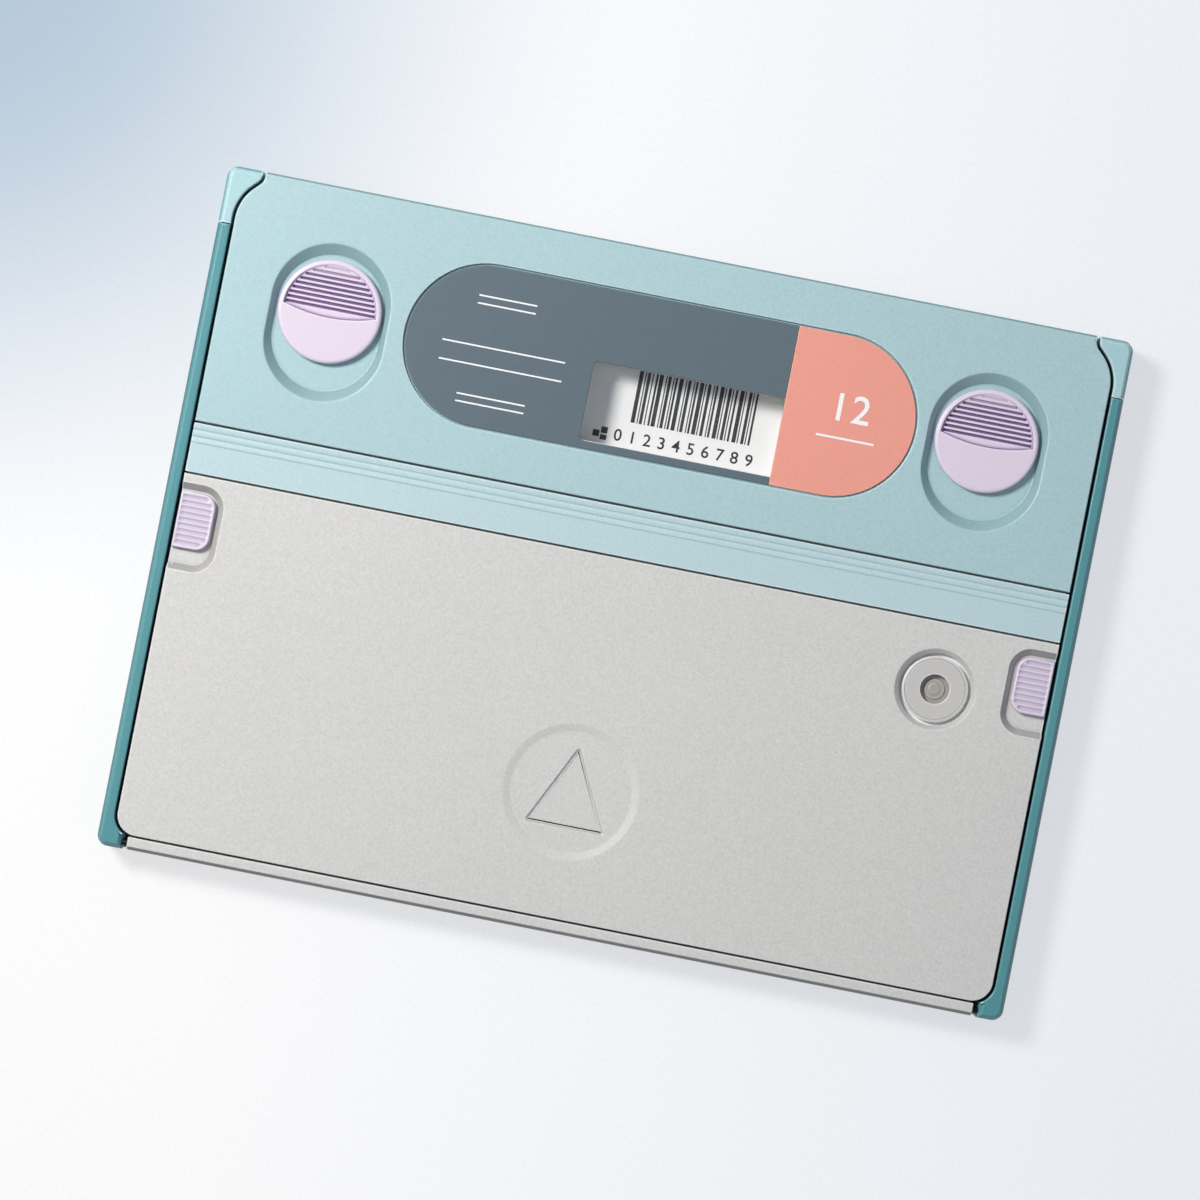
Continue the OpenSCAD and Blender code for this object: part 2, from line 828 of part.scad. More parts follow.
module upper_cover() {
    color("#a9cdd2")
        difference() {
            union() {
                plate(cover_plan(0), z_skin, case_t);
                difference() {
                    plate(cover_plan(0), z_pan_top, z_skin);
                    plate(cover_plan(wall_t), z_pan_top - cut, z_skin + cut);
                    box(-lid_half, lid_half, skirt_in, half_wid, z_pan_top - cut, z_pan_top);
                }
                box(-neck_x + rail_gap / 2, neck_x - rail_gap / 2, skirt_in, lid_front, skirt_z, z_skin);
                for (side = [-1, 1]) {
                    intersection() {
                        translate([side * knob_x, 0, 0])
                            knob_cup();
                        plate(cover_plan(0), z_pan, case_t);
                    }
                    translate([side * (knob_x - knob_spring_x), spring_seat_y - root, spring_z])
                        rotate([-90, 0, 0])
                            cylinder(r = stub_r, h = stub_len + root);
                    for (y = cover_screw_y)
                        boss(side * lid_screw_x, y, z_skin);
                }
                for (x = front_screw_x)
                    boss(x, front_screw_y, z_skin);
            }
            for (side = [-1, 1])
                translate([side * knob_x, 0, 0])
                    knob_recess();
            translate([label_mid, label_y, 0])
                pill(label_len / 2 + label_gap, label_wid / 2 + label_gap, z_label, case_t + cut);
            box(shroud_x0 - 0.6, shroud_x1 + 0.6, shroud_y0 - 0.6, shroud_y1 + 0.6, z_skin - cut, case_t);
            lid_screw_places()
                screw_pilot();
            for (side = [0, 1])
                mirror([side, 0, 0])
                    translate([-lid_half, 0, case_t])
                        soft_edge(case_wid);
            translate([0, lid_front, case_t])
                rotate([0, 0, -90])
                    soft_edge(case_len);
            translate([0, cover_back, case_t])
                rotate([0, 0, 90])
                    soft_edge(case_len);
        }
}

// Small chamfer on the outer edge of a skin, along Y
module soft_edge(length) {
    small = 0.5;
    prism_y(length, [[-cut, cut], [-cut, -small - cut], [0, -small], [small, 0], [small, cut]]);
}

module ridge_strip() {
    mid = (strip_front + strip_back) / 2;
    half = (strip_front - strip_back) / 2;
    band = half - 5.7;
    low = case_t - 0.4;
    high = case_t - 0.1;
    groove = 0.22;
    grooves = [half - 2.5, half - 4.3];
    color("#c3dade")
        difference() {
            translate([0, mid, 0])
                prism_x(2 * lid_half, concat(
                    [[-half, z_pan_top], [-half, low - 0.3], [-half + 0.3, low], [band - 0.3, low], [band, high]],
                    [for (g = [grooves[1], grooves[0]], k = [[-0.3, 0], [0, -groove], [0.3, 0]])
                        [g + k[0], high + k[1]]],
                    [[half - 0.3, high], [half, high - 0.3], [half, z_pan_top]]));
            box(-lid_half + wall_t, lid_half - wall_t, strip_back + wall_t, strip_front - wall_t,
                z_pan_top - cut, z_skin);
            side_bolt_passage(strip_back - cut, strip_back + wall_t + cut);
        }
    color("#c3dade")
        for (side = [-1, 1])
            difference() {
                boss(side * strip_screw_x, mid, z_skin);
                translate([side * strip_screw_x, mid, 0])
                    screw_pilot();
            }
}

// Way for the side bolts through the seam walls
module side_bolt_passage(y0, y1) {
    for (side = [-1, 1])
        box(side * side_tongue_x - tongue_w / 2 - 0.6, side * side_tongue_x + tongue_w / 2 + 0.6, y0, y1,
            z_pan_top - cut, z_bolt_top + 0.4);
}

// Recess of the left side button: the space over its floor
module button_recess(grow, z0, z1) {
    low = recess_low - grow;
    high = button_y + button_len / 2 + button_floor_gap + grow;
    inner = button_in - button_floor_gap - grow;
    r = button_r + button_floor_gap + grow;
    plate(concat(
        [[-lid_half - cut, low]],
        arc(-inner - r, low + r, r, -90, 0),
        arc(-inner - r, high - r, r, 0, 90),
        [[-lid_half - cut, high]]), z0, z1);
}

module button_cup() {
    difference() {
        intersection() {
            button_recess(button_slope + 0.8, z_button_floor - cup_t, z_skin);
            box(-lid_half, 0, lid_back, lid_front, 0, case_t);
        }
        hull()
            for (y = [button_y, button_y - button_travel])
                translate([-button_stem_x, y, z_button_floor - 2 * cut])
                    cylinder(r = button_stem_r + stem_play, h = 4 * cut, $fn = 32);
    }
    box(-side_bolt_in + guide_play, -side_bolt_in + guide_play + guide_t, recess_low,
        button_y + button_len / 2, z_pan_top + slide_gap, z_button_floor);
}

module back_panel() {
    color("#cfcdca")
        difference() {
            union() {
                plate(panel_plan(0), z_skin, case_t);
                difference() {
                    plate(panel_plan(0), z_pan_top, z_skin);
                    plate(panel_plan(wall_t), z_pan_top - cut, z_skin + cut);
                }
                for (side = [0, 1])
                    mirror([side, 0, 0]) {
                        button_cup();
                        box(-side_spring_x - seat_w / 2, -side_spring_x + seat_w / 2, side_seat_y - seat_t,
                            side_seat_y, z_pan_top, z_skin + root);
                        for (y = panel_screw_y)
                            boss(-lid_screw_x, y, z_skin);
                    }
                hinge_screw_places()
                    boss(0, 0, z_skin);
            }
            box(-tongue_half, tongue_half, panel_back - cut, panel_back + tongue_len, z_pan_top - cut,
                z_pan_top + tongue_t);
            for (side = [0, 1])
                mirror([side, 0, 0]) {
                    hull() {
                        button_recess(0, z_button_floor, z_button_floor + 0.01);
                        button_recess(button_slope, case_t, case_t + 0.01);
                    }
                    translate([-lid_half, 0, case_t])
                        soft_edge(case_wid);
                }
            translate([0, panel_back, case_t])
                rotate([0, 0, 90])
                    soft_edge(2 * panel_corner_x);
            translate([0, panel_front, case_t])
                rotate([0, 0, -90])
                    soft_edge(case_len);
            translate([port_x, port_y, z_skin - cut])
                cylinder(r = port_r + port_play, h = skin_t + 2 * cut);
            translate([port_x, port_y, case_t - port_bevel_t])
                cylinder(r1 = port_r + port_play, r2 = port_r + port_play + port_bevel, h = port_bevel_t + 0.001);
            translate([dish_x, dish_y, case_t - dish_t])
                cylinder(r1 = dish_r - dish_wall, r2 = dish_r, h = dish_t + 0.001);
            translate([dish_x, dish_y, case_t - dish_t - triangle_t])
                linear_extrude(triangle_t + cut)
                    polygon([[-triangle_w / 2, -triangle_low], [triangle_w / 2, -triangle_low],
                        [0, triangle_h - triangle_low]]);
            side_bolt_passage(panel_front - wall_t - cut, panel_front + cut);
            lid_screw_places()
                screw_pilot();
            hinge_screw_places()
                screw_pilot();
        }
}

module hinge_spine() {
    bevel = 1;
    bevel_drop = 1.6;
    color("#cfcdca")
        difference() {
            union() {
                translate([0, hinge_y, 0])
                    prism_x(2 * spine_half, [[-spine_w / 2, z_spine], [-spine_w / 2, case_t - bevel_drop],
                        [-spine_w / 2 + bevel, case_t], [spine_w / 2 - 0.3, case_t],
                        [spine_w / 2, case_t - 0.3], [spine_w / 2, z_spine]]);
                box(-tongue_half + tongue_play, tongue_half - tongue_play, spine_front - cut,
                    panel_back + tongue_len - tongue_play, z_pan_top, z_pan_top + tongue_t);
            }
            for (side = [-1, 1])
                translate([side * (foot_in + 0.75), hinge_y, z_hinge])
                    rotate([0, 90, 0])
                        cylinder(r = pin_r + pin_play, h = pin_len + 0.4, center = true);
            hinge_screw_places()
                screw_pilot();
        }
}

module label_pill(x0, x1, z0, z1) {
    intersection() {
        translate([label_mid, label_y, 0])
            pill(label_len / 2, label_wid / 2, z0, z1);
        box(x0, x1, -half_wid, half_wid, z0 - cut, z1 + cut);
    }
}

module label_plate() {
    corner = 1.5;
    color("#62727b")
        difference() {
            label_pill(-half_len, tag_x - tag_gap, z_label, case_t - label_face);
            hull() {
                for (y = [window_low + corner, window_top - corner])
                    translate([window_x + corner, y, z_label - cut])
                        cylinder(r = corner, h = label_t + 2 * cut, $fn = 32);
                box(tag_x, tag_x + cut, window_low, window_top, z_label - cut, z_label + label_t + cut);
            }
        }
}

module size_tag() {
    color("#e69c8b")
        label_pill(tag_x, half_len, z_label, case_t - label_face);
}

module window_lens() {
    color("#dfe9ec", 0.4)
        box(shroud_x0 - 0.4, shroud_x1 + 0.4, shroud_y0 - 0.4, shroud_y1 + 0.4, z_skin, z_label);
}

module window_shroud() {
    ledge = 0.6;
    color("#b9bbb9")
        difference() {
            shroud_block(0, z_pad, z_skin);
            box(shroud_x0, shroud_x1, shroud_y0, shroud_y1, z_pad - cut, z_skin - 1);
            box(shroud_x0 + ledge, shroud_x1 - ledge, shroud_y0 + ledge, shroud_y1 - ledge, z_pad, z_skin + cut);
        }
}

module port_bush() {
    color("#c6c4c1")
        translate([port_x, port_y, 0])
            difference() {
                union() {
                    translate([0, 0, z_disc])
                        cylinder(r = port_r, h = port_disc_t - 0.5);
                    translate([0, 0, z_port - 0.5])
                        cylinder(r1 = port_r, r2 = port_r - 0.8, h = 0.5);
                    translate([0, 0, z_pan_top])
                        cylinder(r = port_r - 0.4, h = z_disc - z_pan_top);
                    translate([0, 0, z_skin - flange_h])
                        cylinder(r = port_r + port_play + flange_lap, h = flange_h);
                }
                translate([0, 0, z_pan_top - cut])
                    cylinder(r = collar_r + collar_play, h = z_disc - stop_t - z_pan_top + cut);
                translate([0, 0, z_disc - stop_t - cut])
                    cylinder(r = bore_r + 0.6, h = stop_t + cut);
                translate([0, 0, z_disc - cut])
                    cylinder(r = bore_r, h = port_disc_t + 2 * cut);
            }
}

module lid_screws() {
    color("#8f9498")
        lid_screw_places()
            screw(0, 0, z_pan, lid_screw_len);
}

module hinge_screws() {
    color("#8f9498")
        hinge_screw_places()
            screw(0, 0, z_pan, lid_screw_len);
}

// Round knob in the middle of its own frame, with a ribbed thumb ramp
module knob() {
    ramp_drop = 1.3;
    ramp_end = 0.35;
    groove_w = 0.55;
    groove_t = 0.5;
    groove_first = 0.95;
    groove_end = 0.6;
    inner = knob_r - knob_lip;
    difference() {
        union() {
            rotate_extrude()
                polygon([[0, z_knob], [knob_r - 0.3, z_knob], [knob_r, z_knob + 0.3], [knob_r, z_knob_top - 0.7],
                    [knob_r - 0.25, z_knob_top - 0.25], [knob_r - 0.8, z_knob_top], [0, z_knob_top]]);
            translate([0, 0, z_bolt_top])
                cylinder(r = stem_r, h = z_knob - z_bolt_top + 0.1);
        }
        intersection() {
            union() {
                prism_x(2 * inner, [[-smile_low - 1, z_knob_top - ramp_drop],
                    [inner, z_knob_top - ramp_end], [inner, case_t + cut], [-smile_low - 1, case_t + cut]]);
                intersection() {
                    cylinder(r = inner - groove_end, h = case_t + cut);
                    for (i = [0:knob_grooves - 1])
                        let (y = groove_first + i * groove_pitch,
                            z = z_knob_top - ramp_drop + (ramp_drop - ramp_end) * (y + smile_low + 1)
                                / (inner + smile_low + 1))
                            box(-inner, inner, y - groove_w / 2, y + groove_w / 2, z - groove_t, case_t + cut);
                }
            }
            cylinder(r = inner, h = case_t + cut);
            translate([0, smile_r - smile_low, 0])
                cylinder(r = smile_r, h = case_t + cut, $fn = 128);
        }
        translate([0, 0, z_bolt_top - cut])
            cylinder(r = screw_r, h = cut + 2.2);
    }
}

module knob_left() {
    color("#e3d6e7")
        translate([-knob_x, knob_y, 0])
            knob();
}

module knob_right() {
    color("#e3d6e7")
        translate([knob_x, knob_y, 0])
            knob();
}

// Steel bolt under the right knob, with the arm of its spring
module latch_bolt() {
    tab_x = knob_x - knob_spring_x;
    difference() {
        union() {
            box(knob_x - bolt_w / 2, knob_x + bolt_w / 2, bolt_tail, bolt_tip, z_bolt, z_bolt_top);
            box(tab_x - tab_w / 2, knob_x, bolt_tail, bolt_tail + arm_w, z_bolt, z_bolt_top);
            box(tab_x - tab_w / 2, tab_x + tab_w / 2, bolt_tail, bolt_tail + tab_t, z_bolt, z_skin - 0.4);
            translate([tab_x, bolt_tail + root, spring_z])
                rotate([90, 0, 0])
                    cylinder(r = stub_r, h = stub_len + root);
        }
        translate([knob_x, knob_y, z_bolt - cut])
            cylinder(r = screw_r, h = bolt_t + 2 * cut);
        translate([knob_x, knob_y, z_bolt])
            cylinder(r1 = head_r, r2 = screw_r, h = bolt_t - 0.2);
    }
}

module latch_bolt_left() {
    color("#b4b8ba")
        mirror([1, 0, 0])
            latch_bolt();
}

module latch_bolt_right() {
    color("#b4b8ba")
        latch_bolt();
}

module knob_screw(x) {
    color("#8f9498")
        translate([x, knob_y, z_bolt]) {
            cylinder(r = screw_r, h = bolt_t + 2);
            cylinder(r1 = head_r, r2 = screw_r, h = bolt_t - 0.2);
        }
}

module knob_screw_left() {
    knob_screw(-knob_x);
}

module knob_screw_right() {
    knob_screw(knob_x);
}

// Points of one wire ring at turn t of a coil along Z
function coil_ring(r, wire, pitch, t, sides) =
    [for (k = [0:sides - 1]) let (a = 360 * t, b = 360 * k / sides)
        [(r + wire * cos(b)) * cos(a), (r + wire * cos(b)) * sin(a), pitch * t + wire * sin(b)]];

// Coil spring along Z whose wire rings span the length given
module coil(r, wire, length, turns) {
    sides = 6;
    steps = round(turns * 18);
    pitch = (length - 2 * wire) / turns;
    rings = [for (i = [0:steps]) each coil_ring(r, wire, pitch, i * turns / steps, sides)];
    walls = [for (i = [0:steps - 1], k = [0:sides - 1])
        let (a = i * sides + k, b = i * sides + (k + 1) % sides)
            each [[a, a + sides, b], [b, a + sides, b + sides]]];
    ends = concat(
        [for (k = [1:sides - 2]) [0, k, k + 1]],
        [for (k = [1:sides - 2]) [steps * sides, steps * sides + k + 1, steps * sides + k]]);
    translate([0, 0, wire])
        polyhedron(points = rings, faces = concat(walls, ends), convexity = 6);
}

module knob_spring(x) {
    color("#c4c7ca")
        translate([x, spring_seat_y, spring_z])
            rotate([-90, 0, 0])
                coil(coil_r, wire_r, bolt_tail - spring_seat_y, 9);
}

module knob_spring_left() {
    knob_spring(-knob_x + knob_spring_x);
}

module knob_spring_right() {
    knob_spring(knob_x - knob_spring_x);
}

// Ribbed push button on the right side
module side_button() {
    scallop_r = 1;
    scallop_t = 0.45;
    low = button_y - button_len / 2;
    high = button_y + button_len / 2;
    difference() {
        union() {
            plate(concat(
                [[button_out, high]],
                arc(button_in + button_r, high - button_r, button_r, 90, 180),
                arc(button_in + button_r, low + button_r, button_r, 180, 270),
                [[button_out, low]]), z_button, z_button_top);
            translate([button_stem_x, button_y, z_bolt_top])
                cylinder(r = button_stem_r, h = z_button - z_bolt_top + 0.1);
            translate([button_stem_x, button_y, z_bolt])
                cylinder(r = rivet_r, h = z_button - z_bolt);
        }
        for (i = [0:button_ribs - 1])
            translate([button_in + 1, low + 0.9 + rib_pitch * (i + 0.5), z_button_top + scallop_r - scallop_t])
                rotate([0, 90, 0])
                    cylinder(r = scallop_r, h = button_w, $fn = 24);
    }
}

module side_button_left() {
    color("#e3d6e7")
        mirror([1, 0, 0])
            side_button();
}

module side_button_right() {
    color("#e3d6e7")
        side_button();
}

module side_bolt() {
    difference() {
        union() {
            box(side_bolt_in, side_bolt_out, side_tab_y - tab_t, button_y + button_len / 2 + 2, z_bolt, z_bolt_top);
            box(side_tongue_x - tongue_w / 2, side_tongue_x + tongue_w / 2, button_y, side_tip, z_bolt,
                z_bolt_top);
            box(side_spring_x - 2.4, side_spring_x + 2.4, side_tab_y - tab_t, side_tab_y, z_bolt, z_skin - 0.4);
        }
        translate([button_stem_x, button_y, z_bolt - cut])
            cylinder(r = rivet_r, h = bolt_t + 2 * cut);
    }
}

module side_bolt_left() {
    color("#b4b8ba")
        mirror([1, 0, 0])
            side_bolt();
}

module side_bolt_right() {
    color("#b4b8ba")
        side_bolt();
}

module button_spring(x) {
    color("#c4c7ca")
        translate([x, side_seat_y, spring_z])
            rotate([-90, 0, 0])
                coil(coil_r, wire_r, side_spring_len, 6);
}

module button_spring_left() {
    button_spring(-side_spring_x);
}

module button_spring_right() {
    button_spring(side_spring_x);
}

module plunger() {
    color("#a9a6a2")
        translate([port_x, port_y, z_collar]) {
            cylinder(r = collar_r, h = collar_t);
            cylinder(r = stud_r, h = collar_t + 0.4);
            cylinder(r = tip_r, h = collar_t + 0.6);
        }
}

module plunger_spring() {
    color("#c4c7ca")
        translate([port_x, port_y, z_pan_top])
            coil(collar_r - 1.2, wire_r, z_collar - z_pan_top, 2);
}

tray_frame();
front_sheet();
rail_left();
rail_right();
corner_cap_left();
corner_cap_right();
keeper_front_left();
keeper_front_right();
keeper_side_left();
keeper_side_right();
light_seal();
front_felt();
imaging_plate();
plate_label();
hinge_pins();
rim_screws();
lid_pan();
shield_foil();
pressure_pad();
upper_cover();
ridge_strip();
back_panel();
hinge_spine();
label_plate();
size_tag();
window_lens();
window_shroud();
port_bush();
lid_screws();
hinge_screws();
knob_left();
latch_bolt_left();
knob_screw_left();
knob_spring_left();
knob_right();
latch_bolt_right();
knob_screw_right();
knob_spring_right();
side_button_left();
side_bolt_left();
button_spring_left();
side_button_right();
side_bolt_right();
button_spring_right();
plunger();
plunger_spring();
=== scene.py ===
"""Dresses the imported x-ray film cassette: moulded skins, rails, knobs, label, print and finishes."""

import logging
import math
from dataclasses import dataclass
from enum import Enum
from typing import Iterable, Sequence

import bmesh
import bpy
from mathutils import Matrix, Vector


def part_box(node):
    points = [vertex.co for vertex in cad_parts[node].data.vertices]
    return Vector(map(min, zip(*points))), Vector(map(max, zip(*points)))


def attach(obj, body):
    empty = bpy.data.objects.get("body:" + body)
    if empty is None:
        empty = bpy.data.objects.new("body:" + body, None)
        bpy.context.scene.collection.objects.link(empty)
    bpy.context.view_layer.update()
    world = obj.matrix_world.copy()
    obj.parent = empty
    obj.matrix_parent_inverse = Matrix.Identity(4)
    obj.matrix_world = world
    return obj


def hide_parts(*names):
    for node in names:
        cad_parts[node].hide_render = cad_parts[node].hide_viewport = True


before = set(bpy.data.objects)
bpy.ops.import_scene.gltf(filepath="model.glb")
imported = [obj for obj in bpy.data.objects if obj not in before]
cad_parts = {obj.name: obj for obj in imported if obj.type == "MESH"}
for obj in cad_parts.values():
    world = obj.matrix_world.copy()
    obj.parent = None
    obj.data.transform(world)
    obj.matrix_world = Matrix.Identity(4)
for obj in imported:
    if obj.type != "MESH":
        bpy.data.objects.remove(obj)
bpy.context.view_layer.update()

MM = 0.001
LOG = logging.getLogger("cassette")

Point = tuple[float, float]
Outline = list[Point]
Split = tuple[list, list]
Station = tuple[Outline, float]


class Body(Enum):
    """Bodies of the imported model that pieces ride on."""

    TRAY = "tray"
    LID = "lid"
    LATCH_LEFT = "latch_left"
    LATCH_RIGHT = "latch_right"
    SIDE_LATCH_LEFT = "side_latch_left"
    SIDE_LATCH_RIGHT = "side_latch_right"
    PLUNGER = "plunger"


class Side(Enum):
    """The two ends of the case, as the sign of X."""

    LEFT = -1
    RIGHT = 1


@dataclass(frozen=True)
class Extent:
    """Box of a CAD node, in millimetres."""

    x0: float
    y0: float
    z0: float
    x1: float
    y1: float
    z1: float

    @classmethod
    def of(cls, node: str) -> "Extent":
        """Reads the box of a node from the frame.

        Args:
            node: Name of the CAD node.

        Returns:
            The node's box in millimetres.
        """
        low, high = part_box(node)
        return cls(*(value / MM for value in (*low, *high)))

    @property
    def mid(self) -> Point:
        """Middle of the box, seen from above."""
        return (self.x0 + self.x1) / 2, (self.y0 + self.y1) / 2


def arc(cx: float, cy: float, radius: float, start: float, end: float, steps: int = 10) -> Outline:
    """Points of a circular arc.

    Args:
        cx: X of the centre.
        cy: Y of the centre.
        radius: Radius of the arc.
        start: First angle in degrees.
        end: Last angle in degrees.
        steps: Number of chords.

    Returns:
        The points, both ends among them.
    """
    angles = (math.radians(start + (end - start) * i / steps) for i in range(steps + 1))
    return [(cx + radius * math.cos(a), cy + radius * math.sin(a)) for a in angles]


def circle(cx: float, cy: float, radius: float, steps: int = 72) -> Outline:
    """Points of a full circle, anticlockwise."""
    return arc(cx, cy, radius, 0, 360, steps)[:-1]


def pill(cx: float, cy: float, half_x: float, half_y: float, steps: int = 28) -> Outline:
    """Points of a slab with round ends, anticlockwise.

    Args:
        cx: X of the middle.
        cy: Y of the middle.
        half_x: Half size along X.
        half_y: Half size along Y.
        steps: Chords in each round end.

    Returns:
        The outline, which starts at its lower right.
    """
    radius = min(half_x, half_y)
    reach_x, reach_y = half_x - radius, half_y - radius
    if reach_x > reach_y:
        return arc(cx + reach_x, cy, radius, -90, 90, steps) + arc(cx - reach_x, cy, radius, 90, 270, steps)
    return arc(cx, cy + reach_y, radius, 0, 180, steps) + arc(cx, cy - reach_y, radius, 180, 360, steps)


def rounded_box(x0: float, x1: float, y0: float, y1: float, radius: float, steps: int = 5) -> Outline:
    """Points of a box with four round corners, anticlockwise."""
    return (arc(x1 - radius, y0 + radius, radius, -90, 0, steps)
            + arc(x1 - radius, y1 - radius, radius, 0, 90, steps)
            + arc(x0 + radius, y1 - radius, radius, 90, 180, steps)
            + arc(x0 + radius, y0 + radius, radius, 180, 270, steps))


def mirrored(outline: Outline) -> Outline:
    """The outline seen in a mirror across X, in an order that keeps its turning sense."""
    return [(-x, y) for x, y in reversed(outline)]


def between(first: Outline, second: Outline, share: float) -> Outline:
    """Outline a share of the way from the first to the second."""
    return [(a[0] + (b[0] - a[0]) * share, a[1] + (b[1] - a[1]) * share) for a, b in zip(first, second)]


def inset(outline: Outline, width: float | Sequence[float]) -> Outline:
    """Moves every edge of an anticlockwise outline inwards.

    Args:
        outline: The points, anticlockwise.
        width: One width for all edges, or one for each edge, which starts at the point of its place.

    Returns:
        The new outline, with as many points.
    """
    count = len(outline)
    widths = [width] * count if isinstance(width, (int, float)) else list(width)
    normals = []
    for (ax, ay), (bx, by) in zip(outline, outline[1:] + outline[:1]):
        length = math.hypot(bx - ax, by - ay)
        normals.append(((ay - by) / length, (bx - ax) / length))
    moved = []
    for i, (x, y) in enumerate(outline):
        (px, py), (nx, ny) = normals[i - 1], normals[i]
        before, after = widths[i - 1], widths[i]
        turn = px * ny - py * nx
        if abs(turn) < 1e-3:
            moved.append((x + nx * after, y + ny * after))
        else:
            moved.append((x + (before * ny - after * py) / turn, y + (px * after - nx * before) / turn))
    return moved


def outer_round(radius: float, top: float, steps: int = 4) -> list[tuple[float, float]]:
    """Profile of a rounded outer edge, upwards, as (inset, height) pairs."""
    angles = [math.pi / 2 * i / steps for i in range(steps + 1)]
    return [(radius * (1 - math.cos(a)), top - radius * (1 - math.sin(a))) for a in angles]


def rim_round(radius: float, top: float, steps: int = 4) -> list[tuple[float, float]]:
    """Profile of the rounded rim of a hole, downwards, as (inset, height) pairs of the hole's outline."""
    return [(-inwards, height) for inwards, height in reversed(outer_round(radius, top, steps))]


def once(parts: Iterable) -> list:
    """Each part once, in a fixed order, so that every run fills and bevels alike."""
    return list(dict.fromkeys(parts))


class Mould:
    """Builds one piece in millimetres with bmesh operators."""

    def __init__(self) -> None:
        """Starts with an empty mesh."""
        self.mesh = bmesh.new()

    def edges(self, ring: Sequence[bmesh.types.BMVert]) -> list[bmesh.types.BMEdge]:
        """Edges of a closed ring of points, made where they are missing."""
        pairs = list(zip(ring, list(ring[1:]) + [ring[0]]))
        return [self.mesh.edges.get(pair) or self.mesh.edges.new(pair) for pair in pairs]

    def ring(self, outline: Outline, z: float) -> list[bmesh.types.BMVert]:
        """Starts a closed ring of points at one height."""
        ring = [self.mesh.verts.new((x, y, z)) for x, y in outline]
        self.edges(ring)
        return ring

    def draw(self, ring: list[bmesh.types.BMVert],
             places: Sequence[Sequence[float]]) -> list[bmesh.types.BMVert]:
        """Extrudes a ring and puts the new points where they belong.

        Args:
            ring: The ring to extrude.
            places: X, Y and Z for each point.

        Returns:
            The new ring, in the same order.
        """
        made = bmesh.ops.extrude_edge_only(self.mesh, edges=self.edges(ring))["geom"]
        copies = {tuple(item.co): item for item in made if isinstance(item, bmesh.types.BMVert)}
        new = [copies[tuple(vert.co)] for vert in ring]
        for vert, place in zip(new, places):
            vert.co = place
        return new

    def loft(self, ring: list[bmesh.types.BMVert], stations: Sequence[Station]) -> list[bmesh.types.BMVert]:
        """Extrudes a ring through a row of outlines, each at its height."""
        for outline, z in stations:
            ring = self.draw(ring, [(x, y, z) for x, y in outline])
        return ring

    def wrap(self, ring: list[bmesh.types.BMVert], outline: Outline,
             profile: Sequence[tuple[float, float]]) -> list[bmesh.types.BMVert]:
        """Extrudes a ring along a profile of (inset, height) pairs of one outline."""
        return self.loft(ring, [(inset(outline, width), z) for width, z in profile])

    def cap(self, *rings: list[bmesh.types.BMVert]) -> None:
        """Fills the face between an outer ring and the holes in it."""
        edges = once(edge for ring in rings for edge in self.edges(ring))
        bmesh.ops.triangle_fill(self.mesh, edges=edges, use_beauty=True, use_dissolve=False)

    def detour(self, ring: list[bmesh.types.BMVert], start: int, points: Outline, z: float) -> Split:
        """Leads a ring round a notch after one of its points.

        Args:
            ring: The plain ring.
            start: Place of the point before the notch.
            points: Points of the way round.
            z: Their height.

        Returns:
            The ring with the notch in it, and the loop of the notch alone.
        """
        way = [self.mesh.verts.new((x, y, z)) for x, y in points]
        after = ring[(start + 1) % len(ring)]
        self.edges([ring[start], *way, after])
        return ring[:start + 1] + way + ring[start + 1:], [ring[start], *way, after]

    def block(self, x0: float, x1: float, y0: float, y1: float, z0: float, z1: float,
              soft: float = 0.0) -> None:
        """Adds a box, with its edges rounded by a bevel.

        Args:
            x0: Low X.
            x1: High X.
            y0: Low Y.
            y1: High Y.
            z0: Low Z.
            z1: High Z.
            soft: Width of the bevel.
        """
        place = Matrix.LocRotScale(((x0 + x1) / 2, (y0 + y1) / 2, (z0 + z1) / 2), None,
                                   (x1 - x0, y1 - y0, z1 - z0))
        verts = bmesh.ops.create_cube(self.mesh, size=1, matrix=place)["verts"]
        if soft:
            edges = once(edge for vert in verts for edge in vert.link_edges)
            bmesh.ops.bevel(self.mesh, geom=edges, offset=soft, segments=2, profile=0.5, affect="EDGES",
                            material=-1)

    def turned(self, profile: Sequence[Point], cx: float, cy: float, steps: int = 96) -> None:
        """Spins a profile of (radius, height) pairs round an upright axis."""
        verts = [self.mesh.verts.new((cx + r, cy, z)) for r, z in profile]
        edges = [self.mesh.edges.new(pair) for pair in zip(verts, verts[1:])]
        bmesh.ops.spin(self.mesh, geom=verts + edges, cent=(cx, cy, 0), axis=(0, 0, 1), angle=math.tau,
                       steps=steps,
                       use_merge=True)

    def piece(self, name: str, finish: "Finish", body: Body, slot: str, nodes: Sequence[str] = (),
              sharp: float = 40.0) -> bpy.types.Object:
        """Closes the mesh and makes it a piece that rides on its body.

        Args:
            name: Name of the piece.
            finish: Finish that it wears.
            body: Body that it rides on.
            slot: The record's material slot; not used.
            nodes: CAD nodes that it stands for.
            sharp: Angle in degrees above which an edge stays sharp.

        Returns:
            The finished object.
        """
        bmesh.ops.remove_doubles(self.mesh, verts=self.mesh.verts, dist=1e-4)
        bmesh.ops.recalc_face_normals(self.mesh, faces=self.mesh.faces)
        bmesh.ops.scale(self.mesh, vec=(MM, MM, MM), verts=self.mesh.verts)
        data = bpy.data.meshes.new(name)
        self.mesh.to_mesh(data)
        self.mesh.free()
        data.shade_smooth()
        data.set_sharp_from_angle(angle=math.radians(sharp))
        data.materials.append(finish.material())
        piece = linked(name, data)
        even = piece.modifiers.new("even_faces", "WEIGHTED_NORMAL")
        even.keep_sharp = True
        dress(piece, body, nodes)
        return piece


